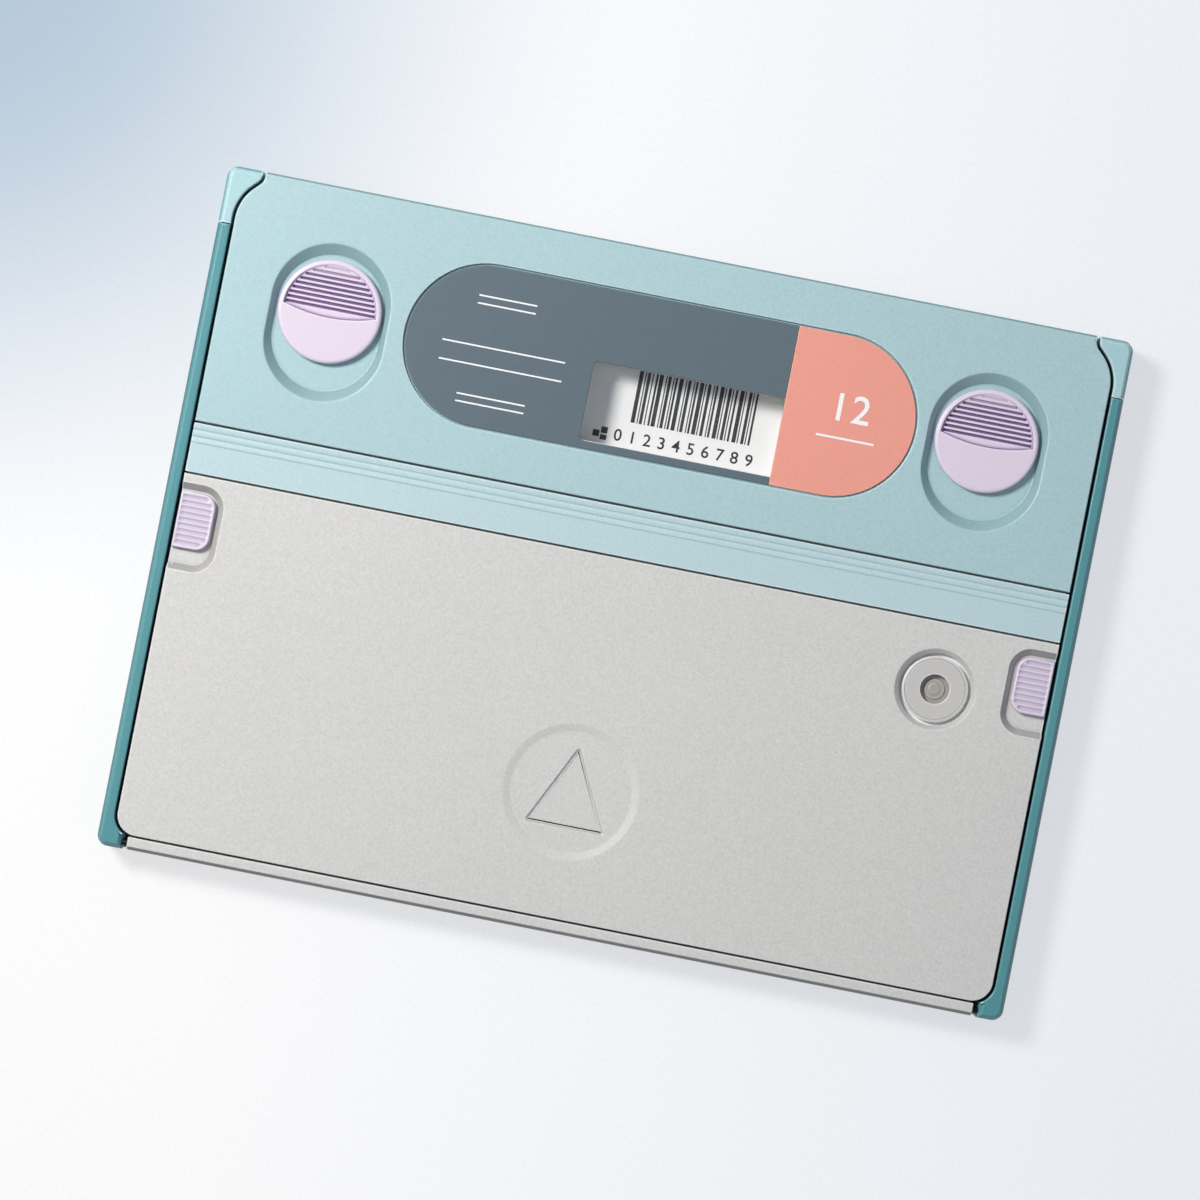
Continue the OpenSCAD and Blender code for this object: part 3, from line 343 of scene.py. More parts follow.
def linked(name: str, data: bpy.types.ID) -> bpy.types.Object:
    """Makes an object of some data and links it to the scene."""
    made = bpy.data.objects.new(name, data)
    bpy.context.scene.collection.objects.link(made)
    return made


def dress(piece: bpy.types.Object, body: Body, nodes: Sequence[str]) -> None:
    """Gives a piece its body and the nodes that it stands for."""
    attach(piece, body.value)
    if nodes:
        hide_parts(*nodes)
    LOG.info("%s: %d faces on %s", piece.name, len(piece.data.polygons), body.value)


class Tree:
    """Short way to write a node tree."""

    def __init__(self, tree: bpy.types.NodeTree) -> None:
        """Takes the tree and empties it."""
        self.tree = tree
        tree.nodes.clear()

    def add(self, kind: str, sockets: dict[str, object] | None = None, **settings: object) -> bpy.types.Node:
        """Adds a node.

        Args:
            kind: Type of the node without its ShaderNode part.
            sockets: Values of inputs, or outputs of other nodes that feed them.
            settings: Settings of the node.

        Returns:
            The node.
        """
        node = self.tree.nodes.new("ShaderNode" + kind if kind not in ("NodeGroupInput", "NodeGroupOutput")
                                   else kind)
        for setting, value in settings.items():
            setattr(node, setting, value)
        for socket, value in (sockets or {}).items():
            target = node.inputs[socket]
            if isinstance(value, bpy.types.NodeSocket):
                self.tree.links.new(value, target)
            else:
                target.default_value = value
        return node

    def math(self, operation: str, first: object, second: object = 0.0) -> bpy.types.NodeSocket:
        """Adds a Math node and gives its output."""
        node = self.add("Math", operation=operation)
        for place, value in enumerate((first, second)):
            if isinstance(value, bpy.types.NodeSocket):
                self.tree.links.new(value, node.inputs[place])
            else:
                node.inputs[place].default_value = value
        return node.outputs[0]

    def mix(self, share: object, first: object, second: object, blend: str = "MIX") -> bpy.types.NodeSocket:
        """Adds a colour Mix node and gives its colour."""
        node = self.add("Mix", data_type="RGBA", blend_type=blend)
        for place, value in ((0, share), (6, first), (7, second)):
            if isinstance(value, bpy.types.NodeSocket):
                self.tree.links.new(value, node.inputs[place])
            else:
                node.inputs[place].default_value = value
        return node.outputs[2]


def linear(code: str) -> tuple[float, float, float, float]:
    """Scene-linear colour of a six-digit screen colour."""
    parts = (int(code[i:i + 2], 16) / 255 for i in (0, 2, 4))
    return (*(v / 12.92 if v <= 0.04045 else ((v + 0.055) / 1.055) ** 2.4 for v in parts), 1.0)


def shared_group(name: str, inputs: dict[str, tuple[str, float]],
                 outputs: dict[str, str]) -> tuple[Tree, bool]:
    """Starts a node group, or finds it if it is there.

    Args:
        name: Name of the group.
        inputs: Socket type and default of each input.
        outputs: Socket type of each output.

    Returns:
        The group's tree, and whether it is new.
    """
    found = bpy.data.node_groups.get(name)
    if found:
        return found, False
    group = bpy.data.node_groups.new(name, "ShaderNodeTree")
    for socket, (kind, default) in inputs.items():
        made = group.interface.new_socket(socket, in_out="INPUT", socket_type="NodeSocket" + kind)
        if kind == "Float":
            made.default_value = default
    for socket, kind in outputs.items():
        group.interface.new_socket(socket, in_out="OUTPUT", socket_type="NodeSocket" + kind)
    return group, True


def grain_group() -> bpy.types.NodeTree:
    """Fine moulded grain: a mask of specks, a slow drift of tone and a bumped normal."""
    group, new = shared_group(
        "moulded_grain",
        {"Vector": ("Vector", 0), "Specks per metre": ("Float", 2200.0), "Depth": ("Float", 0.1)},
        {"Specks": "Float", "Drift": "Float", "Normal": "Vector"})
    if new:
        tree = Tree(group)
        given = tree.add("NodeGroupInput")
        specks = tree.add("TexNoise",
                          {"Vector": given.outputs["Vector"], "Scale": given.outputs["Specks per metre"],
                                       "Detail": 2.0, "Roughness": 0.6})
        drift = tree.add("TexNoise", {"Vector": given.outputs["Vector"], "Scale": 14.0, "Detail": 2.0})
        bump = tree.add("Bump", {"Height": specks.outputs["Fac"], "Strength": given.outputs["Depth"],
                                 "Distance": 0.1 * MM})
        tree.add("NodeGroupOutput", {"Specks": specks.outputs["Fac"], "Drift": drift.outputs["Fac"],
                                     "Normal": bump.outputs["Normal"]})
    return group


def edge_group() -> bpy.types.NodeTree:
    """Masks for painted light: proud edges for painted highlights; corners, the band along the case's outside
    and sloping faces for painted shade.
    """
    group, new = shared_group(
        "painted_edge_light_and_shade",
        {"Vector": ("Vector", 0), "Facing": ("Vector", 0), "Edge width": ("Float", 0.4 * MM),
         "Crevice width": ("Float", 1.5 * MM), "Band inside X": ("Float", 1.0),
         "Band inside Y": ("Float", 1.0)},
        {"Edges": "Float", "Crevices": "Float", "Band": "Float", "Slopes": "Float"})
    if new:
        tree = Tree(group)
        given = tree.add("NodeGroupInput")
        # Mask of proud edges for the painted highlight, found by occlusion inside thin walls.
        thin = tree.add("AmbientOcclusion", {"Distance": given.outputs["Edge width"]},
                        samples=6, inside=True, only_local=True)
        # Mask of corners, recesses and grooves for the painted shade, found by occlusion.
        open_air = tree.add("AmbientOcclusion", {"Distance": given.outputs["Crevice width"]},
                            samples=8, only_local=True)
        patchy = tree.add("TexNoise", {"Vector": given.outputs["Vector"], "Scale": 70.0, "Detail": 3.0})
        some = tree.math("ADD", tree.math("MULTIPLY", patchy.outputs["Fac"], 0.8), 0.6)
        edges = tree.math("MULTIPLY", tree.math("SUBTRACT", 1.0, thin.outputs["AO"]), some)
        crevices = tree.math("SUBTRACT", 1.0, open_air.outputs["AO"])
        # Mask of a thin band beyond set X and Y along the case's outer edges, for painted shade.
        place = tree.add("SeparateXYZ", {"Vector": given.outputs["Vector"]})
        over = [tree.math("SUBTRACT", tree.math("ABSOLUTE", place.outputs[axis]),
                          given.outputs[f"Band inside {axis}"])
                for axis in ("X", "Y")]
        band = tree.add("MapRange", {"Value": tree.math("MAXIMUM", *over), "From Min": -0.12 * MM,
                                     "From Max": 0.12 * MM})
        # Mask of faces that tilt away from straight up, for painted shade on slopes.
        facing = tree.add("SeparateXYZ", {"Vector": given.outputs["Facing"]})
        slopes = tree.add("MapRange", {"Value": facing.outputs["Z"], "From Min": 0.93, "From Max": 0.68})
        tree.add("NodeGroupOutput", {"Edges": edges, "Crevices": crevices, "Band": band.outputs["Result"],
                                     "Slopes": slopes.outputs["Result"]})
    return group


@dataclass(frozen=True)
class Finish:
    """A finish: a name, a colour and how shiny it is."""

    name: str
    colour: str
    roughness: float = 0.45

    def material(self) -> bpy.types.Material:
        """The material of this finish, built on first use."""
        found = bpy.data.materials.get(self.name)
        if found:
            return found
        made = bpy.data.materials.new(self.name)
        made.use_nodes = True
        tree = Tree(made.node_tree)
        self.build(tree)
        return made

    def build(self, tree: Tree) -> None:
        """Writes the nodes of the finish."""
        raise NotImplementedError

    def grain(self, tree: Tree, specks: float, depth: float) -> bpy.types.Node:
        """Adds the moulded grain on Object coordinates."""
        place = tree.add("TexCoord")
        node = tree.add("Group", node_tree=grain_group())
        tree.tree.links.new(place.outputs["Object"], node.inputs["Vector"])
        node.inputs["Specks per metre"].default_value = specks
        node.inputs["Depth"].default_value = depth
        return node

    def painted_light_masks(self, tree: Tree, edge: float, crevice: float, band: Point) -> bpy.types.Node:
        """Adds the masks for painted highlights on edges and painted shade in crevices, on slopes and along
        the outer band, with sizes in millimetres.
        """
        place = tree.add("TexCoord")
        node = tree.add("Group", node_tree=edge_group())
        tree.tree.links.new(place.outputs["Object"], node.inputs["Vector"])
        tree.tree.links.new(place.outputs["Normal"], node.inputs["Facing"])
        for socket, size in zip(("Edge width", "Crevice width", "Band inside X", "Band inside Y"),
                                (edge, crevice, *band)):
            node.inputs[socket].default_value = size * MM
        return node

    def toned(self, tree: Tree, *spreads: tuple[object, float]) -> object:
        """The finish's colour, lighter and darker with each spread by its share."""
        parts = [tree.math("MULTIPLY", spread, share) for spread, share in spreads]
        tone = tree.math("ADD", 1.0, tree.math("ADD", *parts))
        shade = tree.add("CombineColor", {"Red": tone, "Green": tone, "Blue": tone})
        return tree.mix(1.0, linear(self.colour), shade.outputs["Color"], "MULTIPLY")

    def surface(self, tree: Tree, sockets: dict[str, object]) -> None:
        """Ends the tree with a Principled shader."""
        shader = tree.add("BsdfPrincipled", sockets)
        tree.add("OutputMaterial", {"Surface": shader.outputs["BSDF"]})


@dataclass(frozen=True)
class MouldedPlastic(Finish):
    """Moulded plastic: fine grain, slow drift of tone, painted highlights on proud edges, painted shade in
    corners, on slopes and along the outside.
    """

    # Colour of the painted shade in crevices, on slopes and along the outer band.
    shade: str = "30383c"
    # Colour of the painted highlight on proud edges.
    pale: str = "ffffff"
    specks: float = 1700.0
    depth: float = 0.3
    mottle: float = 0.3
    drift: float = 0.06
    # Width and strength of the painted highlight on proud edges.
    edge: float = 0.55
    edge_highlight: float = 1.5
    # Width and strength of the painted shade in crevices.
    crevice: float = 1.6
    crevice_shade: float = 0.8
    # Where the painted shade band along the case's outer edges begins, and its strength.
    band: Point = (1000.0, 1000.0)
    banding: float = 0.62
    # Strength of the painted shade on slopes.
    slope: float = 0.0
    uneven: float = 0.2
    specular: float = 0.5

    def build(self, tree: Tree) -> None:
        """Writes the tones over each other, painted shade and painted highlights among them, and a soft
        uneven gloss.
        """
        grain = self.grain(tree, self.specks, self.depth)
        spread = tree.math("SUBTRACT", grain.outputs["Specks"], 0.5)
        slow = tree.math("SUBTRACT", grain.outputs["Drift"], 0.5)
        base = self.toned(tree, (spread, self.mottle), (slow, self.drift))
        masks = self.painted_light_masks(tree, self.edge, self.crevice, self.band)
        dark = linear(self.shade)
        # Painted shade: crevices turn towards the shade colour.
        shade_painted = tree.mix(tree.math("MULTIPLY", masks.outputs["Crevices"], self.crevice_shade), base, dark)
        # Painted shade on slopes: tilted faces turn towards the shade colour.
        if self.slope:
            shade_painted = tree.mix(tree.math("MULTIPLY", masks.outputs["Slopes"], self.slope), shade_painted, dark)
        # Painted shade: a dark band along the case's outer edges.
        banded = tree.mix(tree.math("MULTIPLY", masks.outputs["Band"], self.banding), shade_painted, dark)
        # Painted highlight: proud edges turn towards the pale colour, in patchy strength.
        edge_highlighted = tree.mix(tree.math("MULTIPLY", masks.outputs["Edges"], self.edge_highlight), banded, linear(self.pale))
        rough = tree.math("ADD", tree.math("MULTIPLY", spread, self.uneven), self.roughness)
        self.surface(tree, {"Base Color": edge_highlighted, "Roughness": rough, "Specular IOR Level": self.specular,
                            "Normal": grain.outputs["Normal"]})


@dataclass(frozen=True)
class Metal(Finish):
    """Bare metal with fine lines along X or round the piece."""

    lines: tuple[float, float, float] = (30.0, 3000.0, 3000.0)
    depth: float = 0.1
    streak: float = 0.25
    stain: float = 0.12
    uneven: float = 0.2

    def build(self, tree: Tree) -> None:
        """Writes fine drawn lines into tone, roughness and bump."""
        place = tree.add("TexCoord")
        drawn = tree.add("Mapping", {"Vector": place.outputs["Object"], "Scale": self.lines})
        streaks = tree.add("TexNoise", {"Vector": drawn.outputs["Vector"], "Scale": 1.0, "Detail": 3.0})
        grain = self.grain(tree, 60.0, 0.0)
        spread = tree.math("SUBTRACT", streaks.outputs["Fac"], 0.5)
        stain = tree.math("SUBTRACT", grain.outputs["Specks"], 0.5)
        base = self.toned(tree, (spread, self.streak), (stain, self.stain))
        rough = tree.math("ADD", self.roughness, tree.math("MULTIPLY", spread, self.uneven))
        bump = tree.add("Bump",
                        {"Height": streaks.outputs["Fac"], "Strength": self.depth, "Distance": 0.05 * MM})
        self.surface(tree, {"Base Color": base, "Roughness": rough, "Metallic": 1.0,
                            "Normal": bump.outputs["Normal"]})


@dataclass(frozen=True)
class Woven(Finish):
    """Tight plain weave under a thin lacquer, such as a fibre sheet."""

    pitch: float = 1.6
    second: str = "8f9592"

    def build(self, tree: Tree) -> None:
        """Writes crossing threads as a checked pair of waves."""
        place = tree.add("TexCoord")
        threads = [tree.add("TexWave",
                            {"Vector": place.outputs["Object"], "Scale": 1 / (self.pitch * MM * 3.1),
                                        "Distortion": 0.6, "Detail": 1.0}, bands_direction=axis)
                   for axis in ("X", "Y")]
        check = tree.add("TexChecker", {"Vector": place.outputs["Object"], "Scale": 1 / (self.pitch * MM)})
        pick = tree.add("Mix",
                        {0: check.outputs["Fac"], 2: threads[0].outputs["Fac"], 3: threads[1].outputs["Fac"]})
        grain = self.grain(tree, 900.0, 0.05)
        base = tree.mix(pick.outputs[0], linear(self.second), linear(self.colour))
        mottled = tree.mix(tree.math("MULTIPLY", grain.outputs["Specks"], 0.2), base, linear(self.second))
        bump = tree.add("Bump", {"Height": pick.outputs[0], "Strength": 0.25, "Distance": 0.08 * MM,
                                 "Normal": grain.outputs["Normal"]})
        self.surface(tree,
                     {"Base Color": mottled, "Roughness": self.roughness, "Normal": bump.outputs["Normal"]})


@dataclass(frozen=True)
class Fibrous(Finish):
    """Felt, foam or paper: a rough matt surface with fibres or pores."""

    pores: float = 1500.0
    depth: float = 0.5
    contrast: float = 0.5

    def build(self, tree: Tree) -> None:
        """Writes pores of two sizes into tone and bump."""
        place = tree.add("TexCoord")
        cells = tree.add("TexVoronoi", {"Vector": place.outputs["Object"], "Scale": self.pores})
        grain = self.grain(tree, self.pores * 2.1, 0.2)
        fleck = tree.math("MULTIPLY", tree.math("ADD", cells.outputs["Distance"], grain.outputs["Specks"]),
                          0.5)
        colour = linear(self.colour)
        dark = tuple(c * (1 - self.contrast) for c in colour[:3]) + (1.0,)
        bump = tree.add("Bump", {"Height": fleck, "Strength": self.depth, "Distance": 0.15 * MM,
                                 "Normal": grain.outputs["Normal"]})
        self.surface(tree, {"Base Color": tree.mix(fleck, dark, colour), "Roughness": self.roughness,
                            "Specular IOR Level": 0.2, "Normal": bump.outputs["Normal"]})


@dataclass(frozen=True)
class ClearPlastic(Finish):
    """Clear window sheet that lets lamp light through without darkening it."""

    def build(self, tree: Tree) -> None:
        """Writes a glass-like shader that is clear to shadow rays."""
        grain = self.grain(tree, 700.0, 0.003)
        rough = tree.math("ADD", self.roughness, tree.math("MULTIPLY", grain.outputs["Specks"], 0.004))
        glass = tree.add("BsdfPrincipled", {"Base Color": linear(self.colour), "Roughness": rough, "IOR": 1.3,
                                            "Transmission Weight": 1.0, "Normal": grain.outputs["Normal"]})
        clear = tree.add("BsdfTransparent", {"Color": linear(self.colour)})
        path = tree.add("LightPath")
        unseen = tree.math("MAXIMUM", path.outputs["Is Shadow Ray"], path.outputs["Is Diffuse Ray"])
        both = tree.add("MixShader", {0: unseen, 1: glass.outputs["BSDF"], 2: clear.outputs["BSDF"]})
        tree.add("OutputMaterial", {"Surface": both.outputs["Shader"]})


# Plastic finishes: each shade colour is painted shade, each pale colour a painted highlight.
COVER_TEAL = MouldedPlastic("cover_teal_plastic", "a8c6cb", 0.42, shade="1f5f68", pale="eefafb",
                            band=(1000.0, 99.0), slope=0.3, crevice_shade=1.2)
CAP_TEAL = MouldedPlastic("cap_teal_plastic", "a4cacf", 0.40, shade="1f7280", pale="f2fcfd",
                          band=(132.3, 99.1), edge_highlight=2.0)
STRIP_PALE = MouldedPlastic("strip_pale_plastic", "b6cfd4", 0.45, shade="4f8790", pale="f4fcfd", crevice_shade=0.7)
RAIL_TEAL = MouldedPlastic("rail_teal_plastic", "519097", 0.36, shade="0f4a52", pale="b9e2e6",
                           band=(132.4, 99.2), mottle=0.16, edge_highlight=0.7)
PANEL_GREY = MouldedPlastic("panel_grey_plastic", "cdccca", 0.5, shade="5d5b58", pale="ffffff", mottle=0.42,
                            band=(1000.0, 98.5), crevice=2.0, crevice_shade=0.9, slope=0.38)
KNOB_LILAC = MouldedPlastic("knob_lilac_plastic", "dccfe0", 0.36, shade="5d2f7c", pale="fdf6ff", mottle=0.12,
                            crevice=1.1, crevice_shade=1.9)
BUTTON_LILAC = MouldedPlastic("button_lilac_plastic", "d9cddf", 0.38, shade="57356e", pale="fdf6ff",
                              mottle=0.12,
                              crevice=1.3, crevice_shade=1.6)
LABEL_SLATE = MouldedPlastic("label_slate_print", "566770", 0.5, shade="23292e", pale="8d9aa2", specks=1200.0,
                             depth=0.08, mottle=0.16, edge_highlight=0.5)
TAG_SALMON = MouldedPlastic("tag_salmon_print", "e89a8a", 0.5, shade="8a4a3f", pale="f8c9bc", specks=1200.0,
                            depth=0.08, mottle=0.12, edge_highlight=0.5)
PRINT_WHITE = MouldedPlastic("print_white_ink", "f1f2f2", 0.6, specks=3500.0, depth=0.05, mottle=0.1,
                             edge_highlight=0.0, crevice_shade=0.0)
PRINT_BLACK = MouldedPlastic("print_black_ink", "131416", 0.55, specks=3500.0, depth=0.05, mottle=0.2,
                             edge_highlight=0.0, crevice_shade=0.0)
PORT_GREY = MouldedPlastic("port_grey_plastic", "c4c2bf", 0.4, shade="242220", pale="ffffff", mottle=0.12,
                           crevice=1.1, crevice_shade=1.7)
PLUNGER_GREY = MouldedPlastic("plunger_grey_plastic", "a39f9a", 0.4, shade="2e2b29", pale="dedbd8",
                              mottle=0.1,
                              crevice=0.8, crevice_shade=1.0)
SHROUD_GREY = MouldedPlastic("shroud_grey_plastic", "cfd1d0", 0.5, mottle=0.1)
TRAY_BLACK = MouldedPlastic("tray_black_plastic", "1d2023", 0.5, shade="08090a", pale="55595d", specks=1500.0,
                            edge_highlight=0.4)
PLATE_WHITE = MouldedPlastic("plate_white_coat", "eceeea", 0.35, shade="8d918c", specks=900.0, depth=0.05,
                             mottle=0.05, edge_highlight=0.0, crevice_shade=0.3)
STEEL = Metal("bright_steel", "b9bdc0", 0.3)
SPRING_STEEL = Metal("spring_steel", "c4c7ca", 0.25, lines=(900.0, 900.0, 900.0))
SHIELD_STEEL = Metal("shield_foil", "7d8286", 0.5, lines=(12.0, 1500.0, 1500.0))
PAN_ALUMINIUM = Metal("pan_aluminium", "c2c5c6", 0.38)
ENTRANCE_WEAVE = Woven("entrance_weave", "c9ccc8", 0.4)
PAD_FOAM = Fibrous("pad_foam", "3a3d41", 0.95, pores=1300.0, depth=0.7, contrast=0.6)
FELT = Fibrous("black_felt", "2c2e32", 1.0, pores=2600.0, depth=0.6)
SEAL_FOAM = Fibrous("seal_foam", "24262a", 0.9, pores=2200.0)
LABEL_PAPER = Fibrous("label_paper", "ecebe8", 0.65, pores=3000.0, depth=0.05, contrast=0.06)
CLEAR_WINDOW = ClearPlastic("clear_window", "ffffff", 0.0)
PIN_DARK = Metal("blackened_pin", "2b2d30", 0.45, lines=(400.0, 900.0, 900.0))

NODE_FINISHES: dict[str, Finish] = {
    "tray_frame": TRAY_BLACK, "front_sheet": ENTRANCE_WEAVE, "light_seal": SEAL_FOAM, "front_felt": FELT,
    "imaging_plate": PLATE_WHITE, "hinge_pins": PIN_DARK, "lid_pan": PAN_ALUMINIUM,
    "shield_foil": SHIELD_STEEL,
    "window_shroud": SHROUD_GREY, "plunger_spring": SPRING_STEEL,
}
SIDED_FINISHES: dict[str, Finish] = {
    "keeper_front": STEEL, "keeper_side": STEEL, "latch_bolt": STEEL, "knob_screw": STEEL,
    "knob_spring": SPRING_STEEL, "side_bolt": STEEL, "button_spring": SPRING_STEEL,
}


class Places:
    """Sizes and places that several sub-assemblies share, read from the frame."""

    def __init__(self) -> None:
        """Reads the boxes of the nodes that fix them."""
        cover, panel = Extent.of("upper_cover"), Extent.of("back_panel")
        rail, cap, lens = Extent.of("rail_right"), Extent.of("corner_cap_right"), Extent.of("window_lens")
        self.half_len = rail.x1
        self.half_wid = cap.y1
        self.face = panel.z1
        self.rail_top = rail.z1
        self.cap_top = cap.z1
        self.rail_high = rail.y1
        self.cap_low = cap.y0
        self.lid_half = cover.x1
        self.lid_front = cover.y1
        self.cover_back = cover.y0
        self.skirt_low = cover.z0
        self.panel_front = panel.y1
        self.panel_back = panel.y0
        self.pan_top = Extent.of("lid_pan").z1
        self.skin_low = lens.z0
        self.label_floor = lens.z1
        self.rim = Extent.of("tray_frame").z1
        self.frame_half = Extent.of("tray_frame").x1
        self.gap_x = (self.frame_half + self.lid_half) / 2
        self.gap = self.frame_half - self.lid_half
        self.panel_radius = 6.0
        self.corner = (self.lid_half - self.panel_radius, self.panel_back + self.panel_radius)


@dataclass(frozen=True)
class CornerGap:
    """The curved gap between the lid and a corner cap, at the left corner."""

    bend: float = 13.4
    neck: float = 3.0
    neck_inset: float = 10.55
    bend_drop: float = 14.65
    turn: float = 45.0

    def curve(self, places: Places, off: float) -> Outline:
        """Points of the curve, upwards.

        Args:
            places: Shared sizes.
            off: How far the curve lies on the lid's side of the gap's middle.

        Returns:
            The points from the side of the case to its latch edge.
        """
        sine = math.sin(math.radians(self.turn))
        bend_x = -places.gap_x + self.bend
        bend_y = places.half_wid - self.bend_drop
        neck_x = -(places.half_len - self.neck_inset) - self.neck
        neck_y = neck_x + 2 * self.neck * sine - bend_x + bend_y + 2 * self.bend * sine
        return (arc(bend_x, bend_y, self.bend - off, 180, 180 - self.turn, 14)
                + arc(neck_x, neck_y, self.neck + off, -self.turn, 0, 8))


@dataclass(frozen=True)
class UpperCover:
    """The teal skin with its knob recesses and label recess."""

    wall: float = 1.2
    cup: float = 1.0
    edge: float = 0.45
    front_edge: float = 1.1
    knob_play: float = 0.5
    end_play: float = 1.5
    travel: float = 6.5
    slope: Point = (1.8, 3.1)
    depth: float = 3.1
    stem: float = 2.6
    label_gap: float = 0.5
    window_play: float = 0.2

    def outline(self, places: Places) -> Outline:
        """Plan of the skin, anticlockwise from its lower left."""
        left = [(-places.lid_half, places.cover_back)]
        curve = CornerGap().curve(places, places.gap / 2)
        left += curve + [(curve[-1][0], places.lid_front)]
        return list(reversed(left + mirrored(left)))

    def edge_widths(self, places: Places, outline: Outline, share: float) -> list[float]:
        """Inset of every edge at a share of the rounding, wider along the latch edge."""
        widths = []
        for (_, ay), (_, by) in zip(outline, outline[1:] + outline[:1]):
            front = min(ay, by) > places.lid_front - MM
            widths.append((self.front_edge if front else self.edge) * share)
        return widths

    def knob_recess(self, mould: Mould, places: Places, knob: Extent) -> tuple[list, list]:
        """Sinks one recess with its slot, and closes the cup under it.

        Args:
            mould: The skin's mesh.
            places: Shared sizes.
            knob: Box of the knob in the recess.

        Returns:
            The ring of the recess in the face, and the ring of its cup in the skin's underside.
        """
        cx, cy = knob.mid
        radius = (knob.x1 - knob.x0) / 2
        middle = cy - self.travel / 2
        half_x, half_y = radius + self.knob_play, radius + self.end_play + self.travel / 2
        floor = places.face - self.depth
        low = pill(cx, middle, half_x, half_y)
        high = pill(cx, middle, half_x + self.slope[0], half_y + self.slope[1])
        rim = mould.ring(inset(high, -0.9), places.face)
        ring = mould.loft(rim, [
            (inset(high, -0.35), places.face), (inset(high, -0.12), places.face - 0.05),
            (between(high, low, 0.05), places.face - 0.22),
            (between(high, low, 0.5), places.face - self.depth / 2),
            (between(high, low, 0.93), floor + 0.24), (low, floor + 0.07), (inset(low, 0.25), floor),
            (inset(low, 0.8), floor)])
        slot = pill(cx, middle, self.stem, self.stem + self.travel / 2, 12)
        top = mould.ring(slot, floor)
        mould.cap(ring, top)
        under = mould.loft(top, [(slot, floor - self.cup)])
        cup = inset(high, -self.cup)
        skin = mould.ring(cup, places.skin_low)
        bottom = mould.loft(skin, [(cup, floor - self.cup)])
        mould.cap(bottom, under)
        return rim, skin

    def build(self, places: Places) -> None:
        """Builds the skin as one closed shell."""
        mould = Mould()
        outline = self.outline(places)
        label, tag, lens = Extent.of("label_plate"), Extent.of("size_tag"), Extent.of("window_lens")
        start = mould.ring(outline, places.pan_top)
        steps = 5
        ring = start
        for i in range(steps + 1):
            angle = math.pi / 2 * i / steps
            widths = self.edge_widths(places, outline, 1 - math.cos(angle))
            height = places.face - self.front_edge * (1 - math.sin(angle)) * 0.55
            ring = mould.draw(ring, [(x, y, height) for x, y in inset(outline, widths)])
        flat = mould.loft(ring, [(inset(outline, self.edge_widths(places, outline, 1.6)), places.face)])
        inner = inset(outline, self.wall)
        rim = mould.draw(start, [(x, y, places.pan_top) for x, y in inner])
        ceiling = mould.loft(rim, [(inner, places.skin_low)])
        holes, cups = [], []
        for side in Side:
            hole, cup = self.knob_recess(mould, places, Extent.of(f"knob_{side.name.lower()}"))
            holes.append(hole)
            cups.append(cup)
        bed = pill((label.x0 + tag.x1) / 2, (label.y0 + label.y1) / 2,
                   (tag.x1 - label.x0) / 2 + self.label_gap, (label.y1 - label.y0) / 2 + self.label_gap, 40)
        label_rim = mould.ring(inset(bed, -0.8), places.face)
        bed_ring = mould.wrap(label_rim, bed,
                              rim_round(0.3, places.face, 3) + [(0, places.label_floor + 0.05),
                                                                                (0.06, places.label_floor)])
        window = rounded_box(lens.x0 - self.window_play, lens.x1 + self.window_play,
                             lens.y0 - self.window_play, lens.y1 + self.window_play, 0.6, 3)
        well = mould.ring(window, places.label_floor)
        mould.cap(bed_ring, well)
        well_low = mould.loft(well, [(window, places.skin_low)])
        mould.cap(flat, *holes, label_rim)
        mould.cap(ceiling, *cups, well_low)
        self.skirt(mould, places)
        mould.piece("teal_cover", COVER_TEAL, Body.LID, "cover_teal", ["upper_cover"])

    def skirt(self, mould: Mould, places: Places) -> None:
        """Draws the front of the rim down behind the latch edge."""
        front = [face for face in mould.mesh.faces
                 if all(abs(v.co.z - places.pan_top) < MM for v in face.verts)
                 and min(v.co.y for v in face.verts) > places.lid_front - 2 * self.wall
                 and max(v.co.x for v in face.verts) - min(v.co.x for v in face.verts) > places.lid_half]
        made = bmesh.ops.extrude_face_region(mould.mesh, geom=front)["geom"]
        verts = [item for item in made if isinstance(item, bmesh.types.BMVert)]
        bmesh.ops.translate(mould.mesh, vec=(0, 0, places.skirt_low - places.pan_top), verts=verts)
        bmesh.ops.delete(mould.mesh, geom=front, context="FACES_ONLY")


